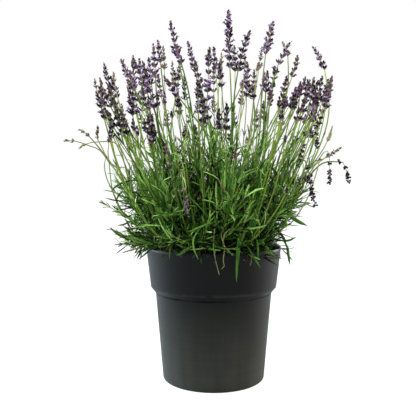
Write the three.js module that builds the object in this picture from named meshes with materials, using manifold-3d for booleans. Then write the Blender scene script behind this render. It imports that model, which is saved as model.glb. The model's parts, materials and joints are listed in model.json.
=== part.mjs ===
// Potted lavender: a bushy flowering plant in the stepped plastic pot that it was grown in.
//
// Millimetres, +Z up. The origin is the centre of the pot's underside, and the front is towards -Y.
// The pot is one moulding, and the soil fills it. A short woody crown stands in the soil, leafy
// shoots spread from the crown, and the flower stems rise from the tips of the shoots.

import * as THREE from 'three';
import { mergeVertices } from 'three/addons/utils/BufferGeometryUtils.js';
import Module from 'manifold-3d';

const wasm = await Module();
wasm.setup();

// ---- driving dimensions ---------------------------------------------------------------------

const GAP = 0.3; // left between pieces that rest on each other
const ROUND_SIDES = 48; // facets around the pot and the soil

const POT = {
  height: 234.5,
  wall: 2.5,
  rimRadius: 120,
  collarRadius: 112, // lower edge of the collar
  bodyRadius: 103.5, // top of the body, where the step starts
  baseRadius: 90.5,
  stepBottom: 154.5,
  stepTop: 164.5,
  edge: 3, // rounding of the bottom edge
  lip: 1.2, // rounding of the rim
};
const DRAIN = { inner: 45, outer: 70, lift: 4, slope: 2, holes: 8, holeRadius: 5 };

const SOIL = { edgeTop: 218.5, centreTop: 222.5, socketRadius: 17.5, socketFloor: 205.5 };

const CROWN = {
  sides: 14,
  stubRadius: 4.5,
  stubFlare: 1.2,
  // the knuckle's outline above the soil, as [radius, height over the soil's top]
  outline: [[17, -8], [16, 1], [19, 12], [15, 24], [7, 31], [0, 33]],
  footRadius: 14,
};

// Each ring of leafy shoots: paths run outwards as [distance from the axis, height].
const RINGS = [
  {
    name: 'low',
    azimuths: [10, 55, 100, 145, 190, 235, 280, 325],
    path: [[25, 243.5], [80, 262], [126, 285], [150, 325]],
    fullness: 23,
    stub: 18,
  },
  {
    name: 'middle',
    azimuths: [30, 90, 150, 210, 270, 330],
    path: [[18, 249.5], [50, 300], [80, 348], [92, 390]],
    fullness: 21,
    stub: 16,
  },
  {
    name: 'upright',
    azimuths: [0, 180],
    path: [[9, 257.5], [20, 310], [29, 365], [32, 412]],
    fullness: 13,
    stub: 14,
  },
];
// A shoot is a row of leaf tufts. Each tuft opens towards the shoot's tip.
const SHOOT = { sides: 7, tipRadius: 4.5, tufts: 6, bareFoot: 0.06, waist: 0.62 };

const STEM = {
  sides: 5,
  baseRadius: 1.15,
  neckRadius: 0.8, // just under the flowers
  seatOffset: 2.7, // from the middle of the shoot's tip
  whorlPitch: 12.5,
  whorlRadius: 7,
  gapRadius: 2.6, // between two whorls
};

// The flower stems, from left to right. `on` is the shoot that carries the stem, `tip` the end of
// its flower spike, `spike` the spike's length, `aim` the way the tip points, where that isn't
// simply onwards from the stem, and `arch` how far the stem runs on that way, as a part of its span.
const STEMS = [
  { on: 'low-4', tip: [-232, -50, 436], spike: 17, aim: [-0.8, -0.1, 0.5] },
  { on: 'low-4', tip: [-268, -8, 421], spike: 17, aim: [-1, 0, 0.25] },
  { on: 'low-4', tip: [-204, -24, 506], spike: 45 },
  { on: 'low-3', tip: [-214, 34, 527], spike: 20, aim: [-0.8, 0.1, 0.6] },
  { on: 'low-3', tip: [-194, 62, 550], spike: 40 },
  { on: 'low-5', tip: [-176, -96, 468], spike: 50 },
  { on: 'middle-3', tip: [-164, -6, 566], spike: 62 },
  { on: 'middle-2', tip: [-150, 58, 580], spike: 58 },
  { on: 'low-5', tip: [-136, -112, 510], spike: 56 },
  { on: 'middle-3', tip: [-104, -30, 586], spike: 52 },
  { on: 'low-3', tip: [-142, 118, 540], spike: 48 },
  { on: 'middle-2', tip: [-106, 68, 618], spike: 40 },
  { on: 'middle-3', tip: [-117, -72, 548], spike: 70 },
  { on: 'low-5', tip: [-98, -166, 444], spike: 34 },
  { on: 'middle-4', tip: [-76, -140, 510], spike: 34 },
  { on: 'upright-1', tip: [-78, 20, 640], spike: 62 },
  { on: 'middle-2', tip: [-66, 116, 590], spike: 44 },
  { on: 'upright-1', tip: [-64, -62, 578], spike: 32, aim: [-0.35, 0, 1] },
  { on: 'middle-1', tip: [-52, 84, 630], spike: 55 },
  { on: 'middle-4', tip: [-30, -118, 540], spike: 44 },
  { on: 'low-2', tip: [-34, 178, 540], spike: 46 },
  { on: 'low-6', tip: [-22, -166, 490], spike: 50, aim: [-0.25, 0, 1] },
  { on: 'upright-1', tip: [-8, -14, 598], spike: 90 },
  { on: 'middle-4', tip: [8, -170, 456], spike: 32, aim: [0, -0.3, 1] },
  { on: 'upright-0', tip: [27, 28, 662], spike: 110, aim: [0, 0, 1] },
  { on: 'middle-1', tip: [14, 128, 596], spike: 40 },
  { on: 'low-6', tip: [48, -166, 496], spike: 26, aim: [-0.5, 0, 0.8] },
  { on: 'upright-0', tip: [62, -44, 604], spike: 66, aim: [0.42, 0, 1] },
  { on: 'middle-1', tip: [70, 150, 576], spike: 32, aim: [0.4, 0.1, 1] },
  { on: 'middle-5', tip: [84, -122, 522], spike: 34 },
  { on: 'middle-0', tip: [106, 8, 634], spike: 58, aim: [0.3, 0, 1] },
  { on: 'middle-5', tip: [130, -38, 586], spike: 50, aim: [0.62, 0, 1] },
  { on: 'middle-0', tip: [128, 62, 614], spike: 30, aim: [-0.4, 0, 0.75] },
  { on: 'low-1', tip: [118, 138, 548], spike: 44 },
  { on: 'low-1', tip: [172, 100, 540], spike: 44 },
  { on: 'low-0', tip: [180, 32, 596], spike: 48, aim: [-0.5, 0, 0.7] },
  { on: 'low-7', tip: [176, -76, 500], spike: 52 },
  { on: 'low-0', tip: [208, 10, 512], spike: 56, aim: [0.4, 0, 1] },
  { on: 'low-7', tip: [205, -104, 404], spike: 24, aim: [0.8, -0.1, 0.5] },
  { on: 'low-0', tip: [238, -14, 342], spike: 44, aim: [0.1, 0, -1], arch: 1.1 },
  { on: 'low-7', tip: [158, -150, 319], spike: 56, aim: [0.1, -0.05, -1], arch: 1.3 },
];

const COLOURS = {
  pot: 0x2b2f30,
  soil: 0x2c2119,
  bark: 0x6a5a48,
  leaf: 0x4e7a3a,
  flower: 0x55407f,
};

// ---- shared shapes --------------------------------------------------------------------------

const UP = new THREE.Vector3(0, 0, 1);

function vec(xyz) {
  return new THREE.Vector3(...xyz);
}

// A geometry with shared corners and no collapsed faces, as a closed body needs.
function closed(geometry) {
  const bare = geometry.index ? geometry.clone() : geometry;
  bare.deleteAttribute('normal');
  bare.deleteAttribute('uv');
  const merged = mergeVertices(bare, 1e-4);
  const corners = Array.from(merged.index.array);
  const kept = [];
  for (let i = 0; i < corners.length; i += 3) {
    const [a, b, c] = corners.slice(i, i + 3);
    if (a !== b && b !== c && c !== a) kept.push(a, b, c);
  }
  merged.setIndex(kept);
  return merged;
}

// A profile of [radius, height] points turned about +Z.
function turned(profile, sides) {
  const points = profile.map(([radius, height]) => new THREE.Vector2(radius, height));
  const geometry = new THREE.LatheGeometry(points, sides);
  geometry.rotateX(Math.PI / 2);
  return closed(geometry);
}

// A turned body bent along a curve. `profile` runs as [part of the curve's length, radius].
function bent(curve, profile, sides) {
  const start = curve.getPointAt(0);
  const away = curve.getPointAt(1).sub(start);
  const side = new THREE.Vector3().crossVectors(UP, away).normalize();
  const geometry = new THREE.LatheGeometry(
    profile.map(([part, radius]) => new THREE.Vector2(radius, part)),
    sides,
  );
  const position = geometry.getAttribute('position');
  for (let i = 0; i < position.count; i += 1) {
    const part = THREE.MathUtils.clamp(position.getY(i), 0, 1);
    const along = curve.getTangentAt(part);
    const across = side.clone().addScaledVector(along, -side.dot(along)).normalize();
    const over = new THREE.Vector3().crossVectors(across, along);
    const place = curve.getPointAt(part);
    place.addScaledVector(across, position.getX(i));
    place.addScaledVector(over, position.getZ(i));
    position.setXYZ(i, place.x, place.y, place.z);
  }
  return closed(geometry);
}

function toSolid(geometry) {
  const vertProperties = new Float32Array(geometry.getAttribute('position').array);
  const triVerts = new Uint32Array(geometry.index.array);
  return new wasm.Manifold(new wasm.Mesh({ numProp: 3, vertProperties, triVerts }));
}

function fromSolid(solid) {
  const { vertProperties, triVerts } = solid.getMesh();
  const geometry = new THREE.BufferGeometry();
  geometry.setAttribute('position', new THREE.BufferAttribute(vertProperties, 3));
  geometry.setIndex(new THREE.BufferAttribute(triVerts, 1));
  return geometry;
}

function material(colour, roughness) {
  return new THREE.MeshStandardMaterial({ color: colour, roughness, metalness: 0 });
}

function named(name, geometry, finish) {
  const mesh = new THREE.Mesh(geometry, finish);
  mesh.name = name;
  return mesh;
}

const twoDigits = (number) => String(number).padStart(2, '0');

// ---- pot ------------------------------------------------------------------------------------

// Inside corners lie one wall in from the outside ones, and a little higher at the slanted step.
const STEP_RISE = 0.35 * POT.wall;

function innerWall() {
  return [
    [POT.baseRadius - POT.wall, POT.edge + POT.wall],
    [POT.bodyRadius - POT.wall, POT.stepBottom + STEP_RISE],
    [POT.collarRadius - POT.wall, POT.stepTop + STEP_RISE],
    [POT.rimRadius - POT.wall, POT.height - POT.lip],
  ];
}

// The floor from the axis outwards, raised by `lift` above the underside everywhere.
function floorLine(lift, slack) {
  return [
    [0, lift],
    [DRAIN.inner - slack, lift],
    [DRAIN.inner + DRAIN.slope - slack, lift + DRAIN.lift],
    [DRAIN.outer - DRAIN.slope + slack, lift + DRAIN.lift],
    [DRAIN.outer + slack, lift],
  ];
}

function pot() {
  const outside = [
    ...floorLine(0, 0),
    [POT.baseRadius - POT.edge, 0],
    [POT.baseRadius - 0.3 * POT.edge, 0.3 * POT.edge],
    [POT.baseRadius, POT.edge],
    [POT.bodyRadius, POT.stepBottom],
    [POT.collarRadius, POT.stepTop],
    [POT.rimRadius, POT.height - POT.lip],
    [POT.rimRadius - 0.5 * POT.lip, POT.height],
    [POT.rimRadius - POT.wall + 0.5 * POT.lip, POT.height],
  ];
  const inside = [
    ...innerWall().reverse(),
    [POT.baseRadius - POT.edge - 0.5 * POT.wall, POT.wall],
    ...floorLine(POT.wall, 0.5 * POT.wall).reverse(),
  ];
  let solid = toSolid(turned([...outside, ...inside], ROUND_SIDES));
  const holeRing = (DRAIN.inner + DRAIN.outer) / 2;
  for (let i = 0; i < DRAIN.holes; i += 1) {
    const angle = ((i + 0.5) / DRAIN.holes) * 2 * Math.PI;
    const hole = new THREE.CylinderGeometry(DRAIN.holeRadius, DRAIN.holeRadius, 30, 10);
    hole.rotateX(Math.PI / 2);
    hole.translate(holeRing * Math.cos(angle), holeRing * Math.sin(angle), 0);
    solid = solid.subtract(toSolid(closed(hole)));
  }
  return named('pot', fromSolid(solid), material(COLOURS.pot, 0.5));
}

// ---- soil -----------------------------------------------------------------------------------

function soil() {
  const slack = 0.5; // sideways, so that the slanted step stays clear too
  const wall = innerWall();
  const [collar, rim] = wall.slice(2);
  const climb = (SOIL.edgeTop - collar[1]) / (rim[1] - collar[1]);
  const topRadius = collar[0] + (rim[0] - collar[0]) * climb;
  const profile = [
    [0, SOIL.socketFloor],
    [SOIL.socketRadius, SOIL.socketFloor],
    [SOIL.socketRadius, SOIL.centreTop],
    [0.6 * topRadius, SOIL.centreTop - 1],
    [topRadius - slack, SOIL.edgeTop],
    [wall[2][0] - slack, wall[2][1]],
    [wall[1][0] - slack, wall[1][1]],
    [wall[0][0] - slack, wall[0][1]],
    [POT.baseRadius - POT.edge - 0.5 * POT.wall - slack, POT.wall + GAP],
    ...floorLine(POT.wall + GAP, 0.5 * POT.wall + 0.2).reverse(),
  ];
  return named('soil', turned(profile.reverse(), ROUND_SIDES), material(COLOURS.soil, 0.95));
}

// ---- leafy shoots ---------------------------------------------------------------------------

// Every shoot reaches a little more or less far than its neighbours.
function reach(index) {
  return 1 + 0.05 * Math.sin(2.4 * index);
}

function shootCurve(ring, index) {
  const angle = THREE.MathUtils.degToRad(ring.azimuths[index]);
  const points = ring.path.map(([distance, height], step) => {
    const out = step === 0 ? distance : distance * reach(index);
    return new THREE.Vector3(out * Math.cos(angle), out * Math.sin(angle), height);
  });
  return new THREE.CubicBezierCurve3(...bezierThrough(points));
}

// The four control points of a curve that passes near the two inner points.
function bezierThrough([start, first, second, end]) {
  const early = start.clone().lerp(first, 1.15);
  const late = end.clone().lerp(second, 1.15);
  return [start, early, late, end];
}

// How far out the leaves stand here: slim at the foot, fullest past the middle, slim at the tip.
function leafSpread(part, fullness) {
  const swell = Math.sin(Math.PI * part ** 1.25);
  return SHOOT.tipRadius + (fullness - SHOOT.tipRadius) * swell;
}

function shootProfile(fullness) {
  const pitch = (1 - SHOOT.bareFoot) / SHOOT.tufts;
  const tufts = [];
  for (let i = 0; i < SHOOT.tufts; i += 1) {
    const foot = SHOOT.bareFoot + i * pitch;
    const mouth = foot + 0.7 * pitch;
    tufts.push([foot, SHOOT.waist * leafSpread(foot, fullness)]);
    tufts.push([mouth, leafSpread(mouth, fullness)]);
  }
  return [[0, 0], [0, CROWN.stubRadius], ...tufts, [1, SHOOT.tipRadius], [1, 0]];
}

function allShoots() {
  return RINGS.flatMap((ring) => ring.azimuths.map((_, index) => ({
    key: `${ring.name}-${index}`,
    ring,
    curve: shootCurve(ring, index),
  })));
}

function leafyShoot(shoot, number) {
  const geometry = bent(shoot.curve, shootProfile(shoot.ring.fullness), SHOOT.sides);
  return named(`leafy_shoot_${twoDigits(number)}`, geometry, material(COLOURS.leaf, 0.75));
}

// ---- woody crown ----------------------------------------------------------------------------

function crown(shoots) {
  const foot = SOIL.socketFloor + GAP;
  const above = CROWN.outline.map(([radius, height]) => [radius, SOIL.centreTop + height]);
  let solid = toSolid(turned([[0, foot], [CROWN.footRadius, foot], ...above], CROWN.sides));
  for (const { curve, ring } of shoots) {
    const along = curve.getTangentAt(0);
    const radius = CROWN.stubRadius;
    const stub = new THREE.CylinderGeometry(radius, radius + CROWN.stubFlare, ring.stub, 8);
    stub.translate(0, -ring.stub / 2 - GAP, 0);
    stub.applyQuaternion(new THREE.Quaternion().setFromUnitVectors(new THREE.Vector3(0, 1, 0), along));
    const seat = curve.getPointAt(0);
    stub.translate(seat.x, seat.y, seat.z);
    solid = solid.add(toSolid(closed(stub)));
  }
  return named('woody_crown', fromSolid(solid), material(COLOURS.bark, 0.9));
}

// ---- flower stems ---------------------------------------------------------------------------

// Which way a stem leans off its shoot, as an angle about the shoot's tip.
function leanAngle(shoot, stem) {
  const along = shoot.curve.getTangentAt(1);
  const across = new THREE.Vector3().crossVectors(UP, along).normalize();
  const over = new THREE.Vector3().crossVectors(along, across);
  const lean = vec(stem.tip).sub(shoot.curve.getPointAt(1));
  return Math.atan2(lean.dot(over), lean.dot(across));
}

// Stems on one shoot stand evenly around its tip, in the order in which they lean, so none cross.
function seatTurn(shoot, stem) {
  const mates = STEMS.filter(({ on }) => on === stem.on);
  const order = mates.map((mate) => leanAngle(shoot, mate)).sort((a, b) => a - b);
  const rank = order.indexOf(leanAngle(shoot, stem));
  return order[0] + (2 * Math.PI * rank) / mates.length;
}

// The place on the shoot's tip at this turn.
function seatOn(shoot, turn) {
  const along = shoot.curve.getTangentAt(1);
  const across = new THREE.Vector3().crossVectors(UP, along).normalize();
  const offset = across.applyAxisAngle(along, turn).multiplyScalar(STEM.seatOffset);
  return shoot.curve.getPointAt(1).add(offset).addScaledVector(along, GAP);
}

function stemCurve(shoot, stem, turn) {
  const seat = seatOn(shoot, turn);
  const tip = vec(stem.tip);
  const length = seat.distanceTo(tip);
  const leave = shoot.curve.getTangentAt(1);
  const aim = stem.aim ? vec(stem.aim).normalize() : tip.clone().sub(seat).normalize();
  return new THREE.CubicBezierCurve3(
    seat,
    seat.clone().addScaledVector(leave, 0.3 * length),
    tip.clone().addScaledVector(aim, -(stem.arch ?? 0.45) * length),
    tip,
  );
}

// A thin stem, then whorls of flowers up to the tip.
function stemProfile(length, spike) {
  const whorls = Math.max(2, Math.round(spike / STEM.whorlPitch));
  const start = 1 - spike / length;
  const pitch = (1 - start) / whorls;
  const bare = [[0, 0], [0, STEM.baseRadius], [start / 3, 1], [(2 * start) / 3, 0.9]];
  const flowers = [[start, STEM.neckRadius]];
  for (let i = 0; i < whorls; i += 1) {
    const taper = 1 - 0.4 * (i / whorls) ** 2;
    flowers.push([start + (i + 0.5) * pitch, STEM.whorlRadius * taper]);
    if (i < whorls - 1) flowers.push([start + (i + 1) * pitch, STEM.gapRadius]);
  }
  return [...bare, ...flowers, [1, 0]];
}

function flowerStem(shoots, stem, number) {
  const shoot = shoots.find(({ key }) => key === stem.on);
  const curve = stemCurve(shoot, stem, seatTurn(shoot, stem));
  const geometry = bent(curve, stemProfile(curve.getLength(), stem.spike), STEM.sides);
  return named(`flower_stem_${twoDigits(number)}`, geometry, material(COLOURS.flower, 0.8));
}

// ---- the whole plant ------------------------------------------------------------------------

const group = new THREE.Group();
const shoots = allShoots();
group.add(pot());
group.add(soil());
group.add(crown(shoots));
shoots.forEach((shoot, index) => group.add(leafyShoot(shoot, index + 1)));
STEMS.forEach((stem, index) => group.add(flowerStem(shoots, stem, index + 1)));

export default group;
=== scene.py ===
# %% [markdown]
# # A potted lavender, dressed
#
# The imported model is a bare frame: a pot, its soil, a woody crown, sixteen rows of solid tufts
# that hold the place of the leafy shoots, and forty-one thin rods with a bulge for each whorl of
# flowers. It stays fixed. Every piece below is modelled around it, so it is loaded first.

# %% Load the frame
import json
import math

import bpy
import numpy as np
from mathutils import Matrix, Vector

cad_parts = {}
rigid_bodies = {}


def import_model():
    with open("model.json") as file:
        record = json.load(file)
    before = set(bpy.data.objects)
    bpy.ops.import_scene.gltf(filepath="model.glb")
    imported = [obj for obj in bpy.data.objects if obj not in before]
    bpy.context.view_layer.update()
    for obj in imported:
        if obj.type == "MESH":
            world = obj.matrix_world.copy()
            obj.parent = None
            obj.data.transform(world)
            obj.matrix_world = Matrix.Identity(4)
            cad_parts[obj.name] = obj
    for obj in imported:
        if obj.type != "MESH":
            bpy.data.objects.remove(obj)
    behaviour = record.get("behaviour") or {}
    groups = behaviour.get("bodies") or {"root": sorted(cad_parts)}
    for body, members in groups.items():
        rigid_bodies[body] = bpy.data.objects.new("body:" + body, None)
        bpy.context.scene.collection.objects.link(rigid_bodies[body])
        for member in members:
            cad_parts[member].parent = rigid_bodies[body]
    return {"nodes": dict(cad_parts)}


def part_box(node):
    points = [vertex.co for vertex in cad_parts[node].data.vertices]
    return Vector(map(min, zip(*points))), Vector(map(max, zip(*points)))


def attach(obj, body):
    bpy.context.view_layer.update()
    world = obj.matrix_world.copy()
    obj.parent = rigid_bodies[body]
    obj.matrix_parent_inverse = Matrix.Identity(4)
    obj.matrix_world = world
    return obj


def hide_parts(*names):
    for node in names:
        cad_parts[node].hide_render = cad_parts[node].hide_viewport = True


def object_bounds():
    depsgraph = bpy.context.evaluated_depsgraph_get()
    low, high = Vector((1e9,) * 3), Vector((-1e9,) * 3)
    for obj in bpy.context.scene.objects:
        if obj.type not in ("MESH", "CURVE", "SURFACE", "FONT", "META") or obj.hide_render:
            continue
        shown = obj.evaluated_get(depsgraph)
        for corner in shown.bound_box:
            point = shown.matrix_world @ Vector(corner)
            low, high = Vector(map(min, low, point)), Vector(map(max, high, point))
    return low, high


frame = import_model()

MM = 0.001
cad_box = [list(corner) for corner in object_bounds()]
nodes = sorted(frame["nodes"])
print("frame:", len(nodes), "nodes, box", [[round(v, 3) for v in corner] for corner in cad_box])

# %% [markdown]
# ## Camera
#
# The plant is seen from the front, from a metre away and a little above its middle. The lens is a
# little longer than normal. The camera is tipped down by two degrees rather than shifted,
# because that is what a hand holding it would do.

# %% Camera
camera_data = bpy.data.cameras.new("camera")
camera = bpy.data.objects.new("camera", camera_data)
bpy.context.scene.collection.objects.link(camera)
bpy.context.scene.camera = camera
TIPPED_DOWN, TURNED_LEFT = 2.2, 0.57
camera.location = (0, -1.0, 0.341)
camera.rotation_euler = (math.radians(90 - TIPPED_DOWN), 0, math.radians(TURNED_LEFT))
camera_data.lens = 48.45
camera_data.sensor_width = 36
print("camera at", tuple(round(v, 3) for v in camera.location), "lens", camera_data.lens)

# %% [markdown]
# ## Studio
#
# The backdrop is plain white and the light is soft and comes from everywhere, but it is weaker
# from the camera's side. That makes the round pot dark in front and lets its two flanks catch
# the light. Large area lamps do this. A small lamp would draw hard shadows between the leaves.

# %% Selection helper
def select_only(*objects):
    """Leave just these objects selected, the last of them active."""
    bpy.ops.object.select_all(action="DESELECT")
    for thing in objects:
        thing.select_set(True)
    bpy.context.view_layer.objects.active = objects[-1]


# %% [markdown]
# ### Floor
#
# The camera sees the floor in the same plain white as the backdrop, so that the plant stands in
# front of nothing. The lamps see a grey floor, because a white one would throw too much light up
# into the leaves. A Light Path node tells the camera's rays from all others.

# %% Lay the floor
bpy.ops.object.select_all(action="DESELECT")
bpy.ops.mesh.primitive_plane_add(size=40, location=(0, 0, 0))
floor = bpy.context.object
floor.name = "studio_floor"
floor_white = bpy.data.materials.new("studio white")
floor_white.use_nodes = True
floor_nodes, floor_links = floor_white.node_tree.nodes, floor_white.node_tree.links
seen_white = floor_nodes["Principled BSDF"]
seen_white.inputs["Base Color"].default_value = (0.12, 0.12, 0.12, 1)
seen_white.inputs["Roughness"].default_value = 0.9
seen_white.inputs["Emission Color"].default_value = (1, 1, 1, 1)
seen_white.inputs["Emission Strength"].default_value = 0.95
bounce_grey = floor_nodes.new("ShaderNodeBsdfDiffuse")
bounce_grey.inputs["Color"].default_value = (0.42, 0.42, 0.41, 1)
floor_ray = floor_nodes.new("ShaderNodeLightPath")
floor_mix = floor_nodes.new("ShaderNodeMixShader")
floor_links.new(floor_ray.outputs["Is Camera Ray"], floor_mix.inputs[0])
floor_links.new(bounce_grey.outputs[0], floor_mix.inputs[1])
floor_links.new(seen_white.outputs[0], floor_mix.inputs[2])
floor_links.new(floor_mix.outputs[0], floor_nodes["Material Output"].inputs["Surface"])
floor.data.materials.append(floor_white)
print("floor:", round(floor.dimensions.x), "metres square")

# %% [markdown]
# ### Lamps
#
# A cool wall of light on the left and a warmer one on the right stand a little behind the plant,
# a third hangs above it, and a small one lights its front from the camera's left.

# %% Hang the lamps
def lamp(name, place, aim, size, power, colour=(1, 1, 1)):
    data = bpy.data.lights.new(name, "AREA")
    data.shape = "RECTANGLE"
    data.size, data.size_y = size
    data.energy = power
    data.color = colour
    thing = bpy.data.objects.new(name, data)
    thing.location = place
    thing.rotation_euler = (Vector(aim) - Vector(place)).to_track_quat("-Z", "Y").to_euler()
    bpy.context.scene.collection.objects.link(thing)
    return thing


MIDDLE, FLOWERS = (0, 0, 0.35), (0, 0, 0.42)
lamp("sky", (0, 0.25, 2.3), MIDDLE, (2.0, 2.0), 46)
lamp("left_wall", (-1.8, 0.62, 0.82), MIDDLE, (1.4, 1.5), 106, (0.69, 0.87, 1.0))
lamp("right_wall", (1.8, 0.55, 0.38), MIDDLE, (1.8, 1.4), 68, (1.0, 0.98, 0.93))
lamp("front_key", (-0.8, -1.4, 2.0), FLOWERS, (0.5, 0.5), 38)

# %% [markdown]
# ### Backdrop
#
# The world is white too where the camera sees it. For all other rays it is a soft fill, which
# grows from almost nothing on the camera's side to full behind the plant.

# %% Light the world
world = bpy.data.worlds.new("studio")
bpy.context.scene.world = world
world.use_nodes = True
world_nodes, world_links = world.node_tree.nodes, world.node_tree.links
backdrop = world_nodes["Background"]
backdrop.inputs["Color"].default_value = (1, 1, 1, 1)
fill = world_nodes.new("ShaderNodeBackground")
fill.inputs["Color"].default_value = (0.96, 0.98, 1, 1)
towards = world_nodes.new("ShaderNodeTexCoord")
axes = world_nodes.new("ShaderNodeSeparateXYZ")
depth = world_nodes.new("ShaderNodeMapRange")
world_links.new(towards.outputs["Generated"], axes.inputs[0])
world_links.new(axes.outputs["Y"], depth.inputs["Value"])
for key, value in {"From Min": -0.55, "From Max": 0.75, "To Min": 0.07, "To Max": 1.05}.items():
    depth.inputs[key].default_value = value
world_links.new(depth.outputs[0], fill.inputs["Strength"])
world_ray = world_nodes.new("ShaderNodeLightPath")
world_mix = world_nodes.new("ShaderNodeMixShader")
world_links.new(world_ray.outputs["Is Camera Ray"], world_mix.inputs[0])
world_links.new(fill.outputs[0], world_mix.inputs[1])
world_links.new(backdrop.outputs[0], world_mix.inputs[2])
world_links.new(world_mix.outputs[0], world_nodes["World Output"].inputs["Surface"])
bpy.context.scene.view_settings.view_transform = "Standard"
print("world nodes:", len(world_nodes))

# %% [markdown]
# ## Finishes
#
# A finish is a small network of nodes. The helper below keeps the networks short: it adds a
# node, sets its plain values and links its other inputs.

# %% Node helper
class Finish:
    """A material under construction: its shader, and short ways to add and link nodes."""

    def __init__(self, name):
        self.material = bpy.data.materials.new(name)
        self.material.use_nodes = True
        self.tree = self.material.node_tree
        self.shader = self.tree.nodes["Principled BSDF"]

    def node(self, kind, inputs=None, **settings):
        made = self.tree.nodes.new("ShaderNode" + kind)
        for key, value in settings.items():
            setattr(made, key, value)
        for key, value in (inputs or {}).items():
            self.feed(made, key, value)
        return made

    def feed(self, node, key, value):
        if isinstance(value, bpy.types.NodeSocket):
            self.tree.links.new(value, node.inputs[key])
        else:
            node.inputs[key].default_value = value

    def set(self, key, value):
        self.feed(self.shader, key, value)

    def here(self):
        return self.node("TexCoord").outputs["Object"]

    def own(self, name):
        """A value that is stored on the piece's own points."""
        return self.node("Attribute", attribute_name=name).outputs["Fac"]

    def noise(self, scale, detail=3.0, where=None, roughness=0.5):
        inputs = {"Vector": where or self.here(), "Scale": scale, "Detail": detail}
        return self.node("TexNoise", {**inputs, "Roughness": roughness}).outputs["Fac"]

    def ramp(self, value, stops):
        """Colours along a value: stops are (position, (r, g, b))."""
        ramp = self.node("ValToRGB", {"Fac": value})
        elements = ramp.color_ramp.elements
        while len(elements) < len(stops):
            elements.new(0.5)
        for element, (position, colour) in zip(elements, stops):
            element.position = position
            element.color = (*colour, 1)
        return ramp.outputs["Color"]

    def mix(self, share, first, second, blend="MIX"):
        """Two colours mixed. Each is a socket or an (r, g, b)."""
        made = self.node("Mix", data_type="RGBA", blend_type=blend)
        self.feed(made, 0, share)
        for slot, colour in ((6, first), (7, second)):
            is_socket = isinstance(colour, bpy.types.NodeSocket)
            self.feed(made, slot, colour if is_socket else (*colour, 1))
        return made.outputs[2]

    def maths(self, operation, first, second=0.0):
        made = self.node("Math", operation=operation)
        self.feed(made, 0, first)
        self.feed(made, 1, second)
        return made.outputs[0]

    def remap(self, value, low, high, new_low=0.0, new_high=1.0):
        made = self.node("MapRange", {"Value": value, "From Min": low, "From Max": high})
        made.inputs["To Min"].default_value = new_low
        made.inputs["To Max"].default_value = new_high
        return made.outputs[0]

    def bump(self, height, strength, distance):
        inputs = {"Height": height, "Strength": strength, "Distance": distance}
        self.set("Normal", self.node("Bump", inputs).outputs[0])


# %% [markdown]
# ### Moulded plastic
#
# Grow pots are moulded from recycled plastic that is coloured through, almost black, and comes out
# of the mould with a fine grain. It is handled and watered, so its gloss is uneven and lime dulls
# its lower half. Its colour also holds painted light: the body is painted lighter towards the
# floor, as painted bounce light, and the collar is painted darker, as painted shade under the plant.
# The collar's lower edge and the rim are rubbed and carry a thin painted highlight, and a painted
# shadow line runs under the step.

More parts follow.
